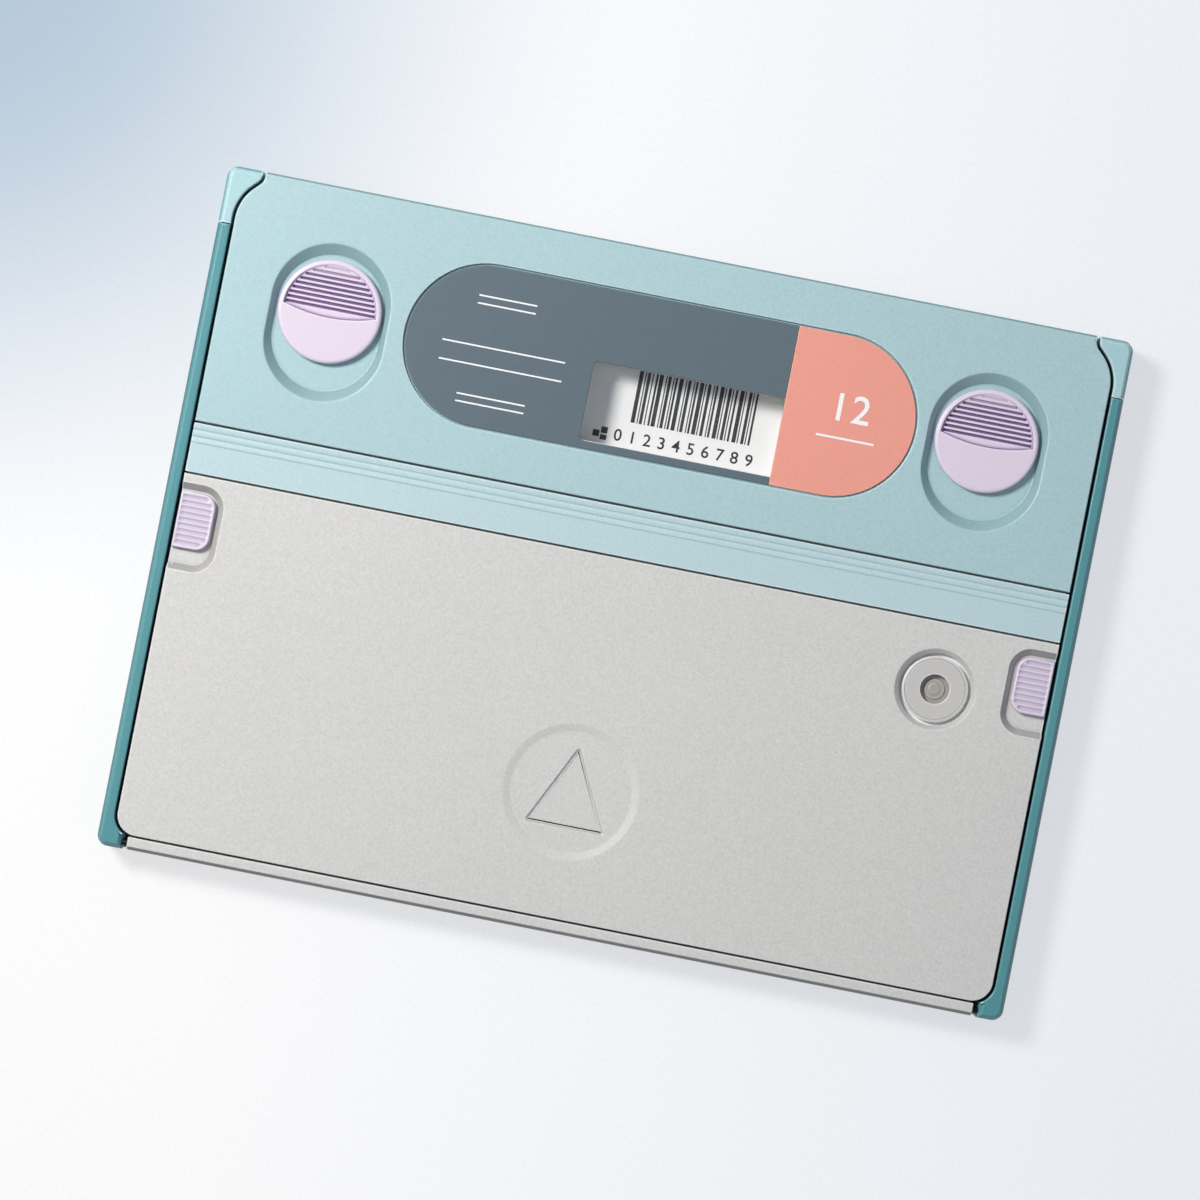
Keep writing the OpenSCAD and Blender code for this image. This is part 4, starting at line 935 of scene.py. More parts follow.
@dataclass(frozen=True)
class RidgeStrip:
    """The pale strip across the lid, with two fine grooves and a step."""

    wall: float = 1.2
    step: float = 0.3
    band: float = 5.5
    grooves: tuple[float, float] = (3.95, 1.95)
    groove_w: float = 0.42
    groove_t: float = 0.34

    def profile(self, y0: float, y1: float, base: float, top: float) -> Outline:
        """Outline of the strip in Y and Z, anticlockwise seen from +X.

        Args:
            y0: Edge on the hinge side.
            y1: Edge on the latch side.
            base: Lowest height.
            top: Highest height.

        Returns:
            The points.
        """
        low = top - self.step
        points = [(y0, base), (y1, base), (y1, top - 0.3), (y1 - 0.1, top - 0.08), (y1 - 0.35, top)]
        for groove in sorted(self.grooves):
            middle = y1 - groove
            points += [(middle + self.groove_w, top), (middle, top - self.groove_t),
                       (middle - self.groove_w, top)]
        step_y = y1 - self.band
        points += [(step_y + 0.15, top), (step_y, top - 0.06), (step_y - 0.3, low + 0.04),
                   (step_y - 0.5, low),
                   (y0 + 0.35, low), (y0 + 0.1, low - 0.08), (y0, low - 0.3)]
        return points

    def build(self, places: Places) -> None:
        """Extrudes the profile across the lid and hollows it from below."""
        strip = Extent.of("ridge_strip")
        mould = Mould()
        profile = self.profile(strip.y0, strip.y1, strip.z0, strip.z1)
        soft = inset(profile, 0.18)
        half = strip.x1
        stations = [(-half, soft), (-half + 0.18, profile), (half - 0.18, profile), (half, soft)]
        ring = [mould.mesh.verts.new((stations[0][0], y, z)) for y, z in stations[0][1]]
        mould.cap(ring)
        for x, outline in stations[1:]:
            ring = mould.draw(ring, [(x, y, z) for y, z in outline])
        mould.cap(ring)
        mould.mesh.normal_update()
        bottom = [face for face in mould.mesh.faces if abs(face.calc_center_median().z - strip.z0) < MM
                  and len(face.verts) == 4 and face.calc_area() > 1000]
        bmesh.ops.inset_region(mould.mesh, faces=bottom, thickness=self.wall, use_boundary=True)
        bmesh.ops.translate(mould.mesh, vec=(0, 0, places.skin_low - strip.z0),
                            verts=once(v for face in bottom for v in face.verts))
        mould.piece("pale_strip", STRIP_PALE, Body.LID, "strip_pale", ["ridge_strip"])


@dataclass(frozen=True)
class BackPanel:
    """The grey skin with its button recesses, release port hole and centre mark."""

    wall: float = 1.2
    edge: float = 0.35
    floor_gap: float = 0.55
    button_radius: float = 4.0
    button_travel: float = 4.0
    slope: float = 1.7
    depth: float = 2.4
    cup: float = 1.0
    port_play: float = 0.45
    port_bevel: Point = (1.3, 1.0)
    port_flange: float = 1.7
    dish_radius: float = 19.6
    dish_wall: float = 2.0
    dish_depth: float = 0.5
    dish_mid: Point = (-1.5, 41.15)
    triangle: tuple[float, float, float] = (23.6, 24.2, 10.6)

    def notch(self, places: Places, grow: float) -> Outline:
        """Way round the right button recess, from its low mouth corner to its high one.

        Args:
            places: Shared sizes.
            grow: How far the outline lies outside the recess's floor.

        Returns:
            The points between the two corners, these among them.
        """
        button = Extent.of("side_button_right")
        low = button.y0 - self.button_travel - self.floor_gap - grow
        high = button.y1 + self.floor_gap + grow
        inner = button.x0 - self.floor_gap - grow
        radius = self.button_radius + self.floor_gap + grow
        return ([(places.lid_half, low)] + arc(inner + radius, low + radius, radius, 270, 180)
                + arc(inner + radius, high - radius, radius, 180, 90) + [(places.lid_half, high)])

    def outline(self, places: Places, grow: float) -> Outline:
        """Plan of the skin with both recesses cut from it, anticlockwise."""
        cx, cy = places.corner
        right = (arc(cx, cy, places.panel_radius, 270, 360, 12) + self.notch(places, grow)
                 + [(places.lid_half, places.panel_front)])
        return right + mirrored(right)

    def build(self, places: Places) -> None:
        """Builds the skin as one closed shell."""
        mould = Mould()
        floor = places.face - self.depth
        high, low = self.outline(places, self.slope), self.outline(places, 0.0)
        flat = mould.ring(inset(high, self.edge + 0.6), places.face)
        ring = mould.loft(flat, [(inset(high, width), z)
                                 for width, z in reversed(outer_round(self.edge, places.face))])
        ring = mould.loft(ring, [(between(high, low, 0.93), floor + 0.17), (low, floor)])
        notch = len(self.notch(places, 0.0))
        first = len(arc(0, 0, 1, 270, 360, 12))
        last = len(low) - first - notch
        mouths = ((first, first + notch - 1), (last, last + notch - 1))
        for start, end in mouths:
            side = 1 if start == first else -1
            slot = mould.ring(self.stem_slot(side), floor)
            mould.cap(ring[start:end + 1], slot)
            mould.loft(slot, [(self.stem_slot(side), floor - self.cup)])
        plain = [vert for i, vert in enumerate(ring) if not any(start < i < end for start, end in mouths)]
        plain_outline = [tuple(vert.co.xy) for vert in plain]
        rim = mould.wrap(plain, plain_outline, [(0, places.pan_top), (self.wall, places.pan_top),
                                                (self.wall, floor - self.cup)])
        self.ceiling(mould, places, rim, floor - self.cup)
        holes = [self.port(mould, places), self.dish(mould, places)]
        mould.cap(flat, *holes)
        mould.piece("grey_panel", PANEL_GREY, Body.LID, "panel_grey", ["back_panel"])

    def stem_slot(self, side: int) -> Outline:
        """Slot for the stem of a side button."""
        button = Extent.of("side_button_right")
        stem_x, middle = button.x0 + 5.4, (button.y0 + button.y1) / 2 - self.button_travel / 2
        return pill(side * stem_x, middle, 2.1, 2.1 + self.button_travel / 2, 10)

    def ceiling(self, mould: Mould, places: Places, rim: list, level: float) -> None:
        """Closes the underside of the skin round the two cups.

        Args:
            mould: The skin's mesh.
            places: Shared sizes.
            rim: Ring inside the side walls at the cups' level.
            level: Height of the cups' underside.
        """
        inner_x = places.lid_half - self.wall
        ring = rim
        for side in (1, -1):
            way = [(min(x, inner_x), y) for x, y in self.notch(places, self.slope + 0.8)]
            way = way if side == 1 else mirrored(way)
            ends = [i for i, vert in enumerate(ring) if abs(vert.co.x - side * inner_x) < MM
                    and way_holds(vert.co.y, way)]
            start = min(ends)
            for i, end in zip(sorted(ends), (way[0], way[-1])):
                ring[i].co.y = end[1]
            ring, loop = mould.detour(ring, start, way[1:-1], level)
            slot = mould.ring(self.stem_slot(side), level)
            mould.cap(loop, slot)
        plan = [tuple(vert.co.xy) for vert in ring]
        top = mould.loft(ring, [(plan, places.skin_low)])
        port = Extent.of("port_bush")
        cx, cy = port.mid
        radius = (port.x1 - port.x0) / 2 - self.port_flange + self.port_play
        mould.cap(top, mould.ring(circle(cx, cy, radius, 96), places.skin_low))

    def port(self, mould: Mould, places: Places) -> list:
        """Cuts the bevelled hole of the release port, and gives its ring in the face."""
        port = Extent.of("port_bush")
        cx, cy = port.mid
        hole = circle(cx, cy, (port.x1 - port.x0) / 2 - self.port_flange + self.port_play, 96)
        width, drop = self.port_bevel
        rim = mould.ring(inset(hole, -width - 0.7), places.face)
        mould.wrap(rim, hole, [(-width - 0.12, places.face), (-width + 0.05, places.face - 0.06),
                               (-0.12, places.face - drop + 0.04), (0, places.face - drop - 0.1),
                               (0, places.skin_low)])
        return rim

    def dish(self, mould: Mould, places: Places) -> list:
        """Sinks the round mark with its triangle, and gives its ring in the face."""
        cx, cy = self.dish_mid[0], -places.half_wid + self.dish_mid[1]
        wide, tall, drop = self.triangle
        edge = circle(cx, cy, self.dish_radius, 120)
        floor = places.face - self.dish_depth
        rim = mould.ring(inset(edge, -0.7), places.face)
        ring = mould.wrap(rim, edge, [(-0.15, places.face), (0.12, places.face - 0.05),
                                      (self.dish_wall - 0.1, floor + 0.04), (self.dish_wall + 0.2, floor),
                                      (self.dish_wall + 0.8, floor)])
        corners = [(cx - wide / 2, cy - drop), (cx + wide / 2, cy - drop), (cx, cy + tall - drop)]
        mark = soft_corners(corners, 0.7)
        mouth = mould.ring(inset(mark, -0.3), floor)
        mould.cap(ring, mouth)
        sunk = mould.wrap(mouth, mark,
                          [(-0.12, floor), (0.0, floor - 0.06), (0.42, floor - self.dish_depth + 0.05),
                                        (0.55, floor - self.dish_depth), (1.0, floor - self.dish_depth)])
        mould.cap(sunk)
        return rim


def way_holds(y: float, way: Outline) -> bool:
    """Whether a height along the side lies at a mouth of the way round."""
    return way[0][1] - 2 < y < way[-1][1] + 2 or way[-1][1] - 2 < y < way[0][1] + 2


def soft_corners(corners: Outline, radius: float, steps: int = 5) -> Outline:
    """Rounds the corners of an anticlockwise polygon."""
    points = []
    count = len(corners)
    for i, (x, y) in enumerate(corners):
        before, after = Vector(corners[i - 1]), Vector(corners[(i + 1) % count])
        here = Vector((x, y))
        to_before, to_after = (before - here).normalized(), (after - here).normalized()
        half = to_before.angle(to_after) / 2
        centre = here + (to_before + to_after).normalized() * (radius / math.sin(half))
        first = here + to_before * (radius / math.tan(half)) - centre
        turn = math.pi - 2 * half
        start = math.atan2(first.y, first.x)
        points += [(centre.x + radius * math.cos(start + turn * k / steps),
                    centre.y + radius * math.sin(start + turn * k / steps)) for k in range(steps + 1)]
    return points


@dataclass(frozen=True)
class HingeSpine:
    """The grey bar on the hinge edge, with its tongue under the panel."""

    bevel: Point = (1.0, 1.6)
    soft: float = 0.25
    tongue: float = 1.2
    bore: float = 1.05

    def build(self, places: Places) -> None:
        """Extrudes the bar along the hinge edge and draws the tongue from it."""
        spine = Extent.of("hinge_spine")
        mould = Mould()
        front = places.panel_back - 0.5
        back, top, base = spine.y0, spine.z1, spine.z0
        run, drop = self.bevel
        profile = [(back, base + 0.3), (back + 0.3, base), (front - 0.3, base), (front, base + 0.3),
                   (front, places.pan_top), (front, places.pan_top + self.tongue), (front, top - 0.35),
                   (front - 0.1, top - 0.1), (front - 0.35, top), (back + run + 0.15, top),
                   (back + run - 0.1, top - 0.1), (back + 0.08, top - drop + 0.05), (back, top - drop - 0.15)]
        small = inset(profile, self.soft)
        half, reach = spine.x1, spine.x1 - 6.2
        xs = [-half, -half + self.soft, -reach, reach, half - self.soft, half]
        outlines = [small, profile, profile, profile, profile, small]
        pin = Extent.of("hinge_pins")
        hinge = ((spine.y0 + front) / 2, (pin.z0 + pin.z1) / 2)
        ring = [mould.mesh.verts.new((xs[0], y, z)) for y, z in outlines[0]]
        self.bore_end(mould, ring, xs[0], 1, hinge)
        for x, outline in zip(xs[1:], outlines[1:]):
            ring = mould.draw(ring, [(x, y, z) for y, z in outline])
        self.bore_end(mould, ring, xs[-1], -1, hinge)
        mould.mesh.normal_update()
        root = [face for face in mould.mesh.faces if abs(face.calc_center_median().y - front) < MM
                and places.pan_top < face.calc_center_median().z < places.pan_top + self.tongue
                and face.calc_area() > reach]
        made = bmesh.ops.extrude_face_region(mould.mesh, geom=root)["geom"]
        bmesh.ops.translate(mould.mesh, vec=(0, spine.y1 - front, 0),
                            verts=[item for item in made if isinstance(item, bmesh.types.BMVert)])
        bmesh.ops.delete(mould.mesh, geom=root, context="FACES_ONLY")
        mould.piece("hinge_bar", PANEL_GREY, Body.LID, "panel_grey", ["hinge_spine"])

    def bore_end(self, mould: Mould, ring: list, x: float, way: int, hinge: Point) -> None:
        """Closes an end of the bar round the hinge pin's bore."""
        depth = 7.5
        mouth = [mould.mesh.verts.new((x, y, z)) for y, z in circle(*hinge, self.bore, 24)]
        mould.cap(ring, mouth)
        inner = mould.draw(mouth, [(x + way * depth, v.co.y, v.co.z) for v in mouth])
        mould.cap(inner)


@dataclass(frozen=True)
class CaseEdge:
    """The rails and corner caps that clasp the tray's sides."""

    flange: Point = (5.0, 1.2)
    corner: float = 3.2
    foot: float = 3.75
    chamfer: Point = (1.15, 2.0)
    inner_soft: float = 0.4
    seam: float = 0.15
    screw_head: float = 1.9
    screw_shank: float = 1.0
    head_depth: float = 0.9
    skirt: float = 1.6
    skirt_gap: float = 0.8

    def tiers(self, mould: Mould, shared: Outline, inners: list[Outline], heights: list[float],
              screws: list[Point]) -> list:
        """Stacks plans that share their outer side, with a ledge between each two.

        Args:
            mould: The piece's mesh.
            shared: Outer part of every plan, from where the inner parts end to where they start.
            inners: Inner part of each plan, upwards.
            heights: Bottom of the piece, and the height at which each next plan begins.
            screws: Middles of the screw holes in the bottom.

        Returns:
            The ring of the last plan at its bottom.
        """
        edge = 0.25
        plan = shared + inners[0]
        base = mould.ring(inset(plan, edge), heights[0])
        holes = [mould.ring(circle(x, y, self.screw_head, 32), heights[0]) for x, y in screws]
        mould.cap(base, *holes)
        tops = []
        for hole, (x, y) in zip(holes, screws):
            neck = mould.loft(hole, [(circle(x, y, self.screw_shank, 32), heights[0] + self.head_depth)])
            tops.append(mould.loft(neck, [(circle(x, y, self.screw_shank, 32), heights[1])]))
        ring = mould.loft(base, [(plan, heights[0] + edge)])
        for level, (height, inner) in enumerate(zip(heights[1:], inners[1:])):
            ring = mould.loft(ring, [(plan, height)])
            count = len(shared)
            new = [mould.mesh.verts.new((x, y, height)) for x, y in inner]
            loop = [ring[count - 1]] + ring[count:] + [ring[0]] + list(reversed(new))
            mould.cap(loop, *(tops if level == 0 else []))
            ring = ring[:count] + new
            mould.edges(ring)
            plan = shared + inner
        return ring

    def crown(self, mould: Mould, ring: list, plan: Outline, outer: int, top: float) -> None:
        """Closes the top with a broad chamfer outside and a soft edge inside.

        Args:
            mould: The piece's mesh.
            ring: Ring of the last plan.
            plan: That plan.
            outer: Number of edges that have the chamfer.
            top: Height of the top.
        """
        run, drop = self.chamfer
        small = self.inner_soft

        def widths(outside: float, inside: float) -> Outline:
            return inset(plan, [outside] * outer + [inside] * (len(plan) - outer))

        last = mould.loft(ring, [
            (widths(0, 0), top - drop - 0.2), (widths(run * 0.06, 0), top - drop + 0.15),
            (widths(run * 0.4, 0), top - drop * 0.5), (widths(run * 0.5, 0), top - drop * 0.42),
            (widths(run * 0.98, small * 0.05), top - small * 0.7),
            (widths(run * 1.1, small * 0.35), top - small * 0.25), (widths(run * 1.25, small), top),
            (widths(run * 1.25 + 0.3, small + 0.25), top)])
        mould.cap(last)

    def rail(self, places: Places, side: Side, screws: list[float]) -> None:
        """Builds a rail with its foot and flange."""
        cx, cy = -places.corner[0], places.corner[1]
        radius = places.panel_radius + places.gap
        foot_in = -places.frame_half + self.foot
        frame_back = places.panel_back + 0.5
        turn = math.degrees(math.acos((-foot_in - places.corner[0]) / radius))
        cross = 180 + math.degrees(math.asin((cy - frame_back) / radius))
        low = arc(cx, cy, radius, 180 + turn, cross, 3)
        high = arc(cx, cy, radius, cross, 180, 10)[1:]
        flange_x = -places.frame_half + self.flange[0]
        high_end = places.cap_low - self.seam
        end = (-places.frame_half, high_end)
        outer = ([(-places.half_len, high_end)]
                 + arc(-places.half_len + self.corner, -places.half_wid + self.corner, self.corner, 180, 270,
                       8)
                 + [(foot_in, -places.half_wid)])
        shared = [end] + outer + low
        inners = [[(flange_x, frame_back), (flange_x, high_end)],
                  [(-places.frame_half, frame_back)], high]
        self.stack(places, side, "rail", RAIL_TEAL, "rail_teal", shared, inners, screws, places.rail_top,
                   len(outer))

    def cap_piece(self, places: Places, side: Side, screws: list[float]) -> None:
        """Builds a corner cap with its curved inner edge and flange."""
        frame_front = places.lid_front - self.skirt - self.skirt_gap
        curve = CornerGap().curve(places, -places.gap / 2)
        flange_x = -places.frame_half + self.flange[0]
        start = (-places.frame_half, places.cap_low)
        cut = next(i for i, point in enumerate(curve) if point[1] > frame_front)
        (ax, ay), (bx, by) = curve[cut - 1], curve[cut]
        share = (frame_front - ay) / (by - ay)
        crossing = (ax + (bx - ax) * share, frame_front)
        outer = ([(curve[-1][0], places.half_wid)]
                 + arc(-places.half_len + self.corner, places.half_wid - self.corner, self.corner, 90, 180, 8)
                 + [(-places.half_len, places.cap_low)])
        lead = [crossing] + curve[cut:]
        shared = lead + outer + [start]
        inners = [[(flange_x, places.cap_low), (flange_x, frame_front)],
                  [(-places.frame_half, frame_front), (flange_x, frame_front)], curve[:cut]]
        self.stack(places, side, "corner_cap", CAP_TEAL, "rail_teal", shared, inners, screws, places.cap_top,
                   len(outer) - 1, len(lead))

    def stack(self, places: Places, side: Side, kind: str, finish: Finish, slot: str, shared: Outline,
              inners: list[Outline], screws: list[float], top: float, outer: int, lead: int = 1) -> None:
        """Builds one piece of the case's edge from its plans and mirrors it where it belongs.

        Args:
            places: Shared sizes.
            side: End of the case.
            kind: Kind of piece, as in its node's name.
            finish: Its finish.
            slot: The record's material slot; not used.
            shared: Outer part of every plan.
            inners: Inner part of each plan, upwards.
            screws: Y of each screw.
            top: Height of the top.
            outer: Number of edges that have the broad chamfer.
            lead: Number of shared points before the first of these edges.
        """
        mould = Mould()
        screw_x = -places.frame_half + self.flange[0] / 2
        ring = self.tiers(mould, shared, inners, [0.0, self.flange[1], places.rim],
                          [(screw_x, y) for y in screws])
        plan = shared + inners[-1]
        ring = ring[lead:] + ring[:lead]
        plan = plan[lead:] + plan[:lead]
        self.crown(mould, ring, plan, outer, top)
        if side is Side.RIGHT:
            bmesh.ops.scale(mould.mesh, vec=(-1, 1, 1), verts=mould.mesh.verts)
        name = f"{kind}_{side.name.lower()}"
        mould.piece(f"{name}_shell", finish, Body.TRAY, slot, [name])

    def build(self, places: Places) -> None:
        """Builds both rails and both caps."""
        heads = screw_places("rim_screws")
        ys = sorted({round(y, 2) for x, y in heads if x < 0})
        for side in Side:
            self.rail(places, side, [y for y in ys if y < places.rail_high])
            self.cap_piece(places, side, [y for y in ys if y > places.cap_low])


def screw_places(node: str) -> list[Point]:
    """Middles of the separate screws of a CAD node, in millimetres.

    Args:
        node: Name of the node that holds the screws.

    Returns:
        X and Y of each screw.
    """
    copy = bmesh.new()
    copy.from_mesh(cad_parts[node].data)
    bmesh.ops.remove_doubles(copy, verts=copy.verts, dist=1e-6)
    seen: set[int] = set()
    places = []
    copy.verts.index_update()
    for vert in copy.verts:
        if vert.index in seen:
            continue
        island, queue = [], [vert]
        seen.add(vert.index)
        while queue:
            here = queue.pop()
            island.append(here.co)
            for edge in here.link_edges:
                other = edge.other_vert(here)
                if other.index not in seen:
                    seen.add(other.index)
                    queue.append(other)
        xs, ys = [co.x for co in island], [co.y for co in island]
        places.append(((min(xs) + max(xs)) / 2 / MM, (min(ys) + max(ys)) / 2 / MM))
    copy.free()
    return places


@dataclass(frozen=True)
class CrossScrews:
    """Countersunk screws with a cross recess, heads down."""

    head: float = 1.85
    shank: float = 0.95
    slot: Point = (0.36, 2.2)
    slot_depth: float = 0.6

    def build(self, node: str, body: Body, length: float) -> None:
        """Builds every screw of a node as one piece.

        Args:
            node: CAD node that holds the screws.
            body: Body that they ride on.
            length: Length of a screw.
        """
        extent = Extent.of(node)
        base = extent.z0
        mould = Mould()
        for x, y in screw_places(node):
            self.screw(mould, x, y, base + 0.03, min(length, extent.z1 - base - 0.05))
        mould.piece(f"{node}_turned", STEEL, body, "steel", [node])

    def screw(self, mould: Mould, x: float, y: float, base: float, length: float) -> None:
        """Adds one screw whose head faces down."""
        half, reach = self.slot[0] / 2, self.slot[1] / 2
        cross = [(half, -reach), (half, -half), (reach, -half), (reach, half), (half, half), (half, reach),
                 (-half, reach), (-half, half), (-reach, half), (-reach, -half), (-half, -half),
                 (-half, -reach)]
        place = [(x + a, y + b) for a, b in cross]
        rim = mould.ring(circle(x, y, self.head - 0.08, 28), base)
        mouth = mould.ring(place, base)
        mould.cap(rim, mouth)
        mould.cap(mould.loft(mouth, [(inset(place, 0.06), base + self.slot_depth)]))
        tip = mould.loft(rim, [
            (circle(x, y, self.head, 28), base + 0.08),
            (circle(x, y, self.shank, 28), base + self.head - self.shank),
            (circle(x, y, self.shank, 28), base + length - 0.4),
            (circle(x, y, self.shank * 0.6, 28), base + length)])
        mould.cap(tip)


@dataclass(frozen=True)
class ThumbKnob:
    """Round lilac knob with a thumb ramp and grooves."""

    lip: float = 1.4
    smile: float = 44.4
    smile_low: float = 1.9
    ramp: Point = (1.15, 0.3)
    grooves: int = 9
    pitch: float = 1.44
    first: float = 0.95
    groove_half: float = 0.3
    groove_depth: float = 0.75
    stem: float = 2.3

    def build(self, side: Side, places: Places) -> None:
        """Builds the knob of one side."""
        node = f"knob_{side.name.lower()}"
        knob = Extent.of(node)
        cx, cy = knob.mid
        radius, top = (knob.x1 - knob.x0) / 2, knob.z1
        low = places.face - UpperCover().depth + 0.2
        mould = Mould()
        rim = circle(cx, cy, radius, 128)
        stem = circle(cx, cy, self.stem, 32)
        base = mould.ring(inset(rim, 0.3), low)
        root = mould.ring(stem, low)
        mould.cap(base, root)
        mould.cap(mould.loft(root, [(stem, knob.z0)]))
        flat = mould.wrap(base, rim, [(0, low + 0.3), (0, top - 0.9), (0.06, top - 0.55), (0.25, top - 0.25),
                                      (0.55, top - 0.07), (0.9, top), (1.25, top)])
        crescent = self.crescent(cx, cy, radius - self.lip)
        mouth = mould.ring(inset(crescent, -0.12), top)
        mould.cap(flat, mouth)
        inner = radius - self.lip
        plane = [(x, y, self.ramp_z(y - cy, inner, top)) for x, y in inset(crescent, 0.22)]
        ring = mould.draw(mouth, [(x, y, top - 0.06) for x, y in inset(crescent, 0.0)])
        ring = mould.draw(ring, plane)
        mould.cap(ring, *self.cut_grooves(mould, cx, cy, inner, top))
        body = Body.LATCH_LEFT if side is Side.LEFT else Body.LATCH_RIGHT
        mould.piece(f"thumb_{node}", KNOB_LILAC, body, "knob_lilac", [node], 50.0)

    def ramp_z(self, y: float, inner: float, top: float) -> float:
        """Height of the thumb ramp at a distance from the knob's middle."""
        deep, shallow = self.ramp
        share = (y + self.smile_low) / (inner + self.smile_low)
        return top - deep + (deep - shallow) * share

    def crescent(self, cx: float, cy: float, inner: float) -> Outline:
        """Outline of the ramp: the knob's inner circle cut off by the smile."""
        centre = self.smile - self.smile_low
        meet = (inner ** 2 - self.smile ** 2 + centre ** 2) / (2 * centre)
        angle = math.degrees(math.asin(meet / inner))
        half = math.degrees(math.asin(inner * math.cos(math.radians(angle)) / self.smile))
        return (arc(cx, cy, inner, angle, 180 - angle, 56)
                + arc(cx, cy + centre, self.smile, 270 - half, 270 + half, 30)[1:-1])

    def cut_grooves(self, mould: Mould, cx: float, cy: float, inner: float, top: float) -> list:
        """Sinks the grooves into the ramp, and gives their rings in it."""
        rings = []
        for i in range(self.grooves):
            y = self.first + self.pitch * i
            reach = math.sqrt(max((inner - 0.55) ** 2 - y ** 2, 0.5))
            smile = self.smile ** 2 - (self.smile - self.smile_low - y) ** 2
            reach = min(reach, math.sqrt(smile) - 0.9 if y < self.smile else reach)
            fade = min(1.0, max(0.35, (inner - y) / 4.5))
            shape = pill(cx, cy + y, reach, self.groove_half, 6)
            depth = self.groove_depth * fade

            def level(outline: Outline, drop: float) -> list[tuple[float, float, float]]:
                return [(px, py, self.ramp_z(py - cy, inner, top) - drop) for px, py in outline]

            mouth = [mould.mesh.verts.new(place) for place in level(inset(shape, -0.3), 0.0)]
            mould.edges(mouth)
            ring = mouth
            for width, share in ((-0.18, 0.06), (-0.06, 0.26), (0.03, 0.6), (0.13, 1.0)):
                ring = mould.draw(ring, level(inset(shape, width), depth * share))
            mould.cap(ring)
            rings.append(mouth)
        return rings


@dataclass(frozen=True)
class SideButton:
    """Lilac push button with soft ribs across it."""

    radius: float = 4.0
    ribs: int = 9
    margin: float = 0.75
    scallop: float = 0.42
    stem: float = 1.8
    rivet: float = 1.2
    stem_in: float = 5.4

    def build(self, side: Side, places: Places) -> None:
        """Builds the button of one side."""
        node = f"side_button_{side.name.lower()}"
        box = Extent.of("side_button_right")
        x0, x1, y0, y1, top = box.x0, box.x1, box.y0, box.y1, box.z1
        low = places.face - BackPanel().depth + 0.2
        mould = Mould()
        steps = 10
        outline = ([(x1, y1)] + arc(x0 + self.radius, y1 - self.radius, self.radius, 90, 180, steps)
                   + arc(x0 + self.radius, y0 + self.radius, self.radius, 180, 270, steps) + [(x1, y0)])
        middle = (y0 + y1) / 2
        stem = circle(x0 + self.stem_in, middle, self.stem, 28)
        rivet = circle(x0 + self.stem_in, middle, self.rivet, 28)
        bolt_top = Extent.of("side_bolt_right").z0 + 1.2
        base = mould.ring(inset(outline, 0.2), low)
        root = mould.ring(stem, low)
        mould.cap(base, root)
        ring = mould.loft(root, [(stem, bolt_top), (rivet, bolt_top), (rivet, box.z0)])
        mould.cap(ring)
        flat = mould.wrap(base, outline, [(0, low + 0.2), (0, top - 0.7), (0.05, top - 0.4),
                                          (0.2, top - 0.12), (0.4, top), (0.46, top)])
        rings = [self.trough(mould, x0, x1, y0, y1, i, top) for i in range(self.ribs)]
        mould.cap(flat, *rings)
        if side is Side.LEFT:
            bmesh.ops.scale(mould.mesh, vec=(-1, 1, 1), verts=mould.mesh.verts)
        body = Body.SIDE_LATCH_LEFT if side is Side.LEFT else Body.SIDE_LATCH_RIGHT
        mould.piece(f"ribbed_{node}", BUTTON_LILAC, body, "button_lilac", [node], 60.0)

    def trough(self, mould: Mould, x0: float, x1: float, y0: float, y1: float, place: int,
               top: float) -> list:
        """Sinks one soft trough between two ribs, and gives its ring in the top."""
        pitch = (y1 - y0 - 2 * self.margin) / self.ribs
        y = y0 + self.margin + pitch * (place + 0.5)
        width = pitch / 2 - 0.04
        reach = self.radius - 0.5
        off = min(reach, max(0.0, self.radius - (min(y - y0, y1 - y) - width * 0.7)))
        bend = reach - math.sqrt(reach ** 2 - off ** 2)
        left, right = x0 + 0.55 + bend, x1 - 0.5
        shape = pill((left + right) / 2, y, (right - left) / 2, width, 6)
        mouth = mould.ring(shape, top)
        profile = [(width * share, top - self.scallop * math.sin(math.pi / 2 * share))
                   for share in (0.12, 0.3, 0.52, 0.76, 0.94)]
        mould.cap(mould.wrap(mouth, shape, profile))
        return mouth


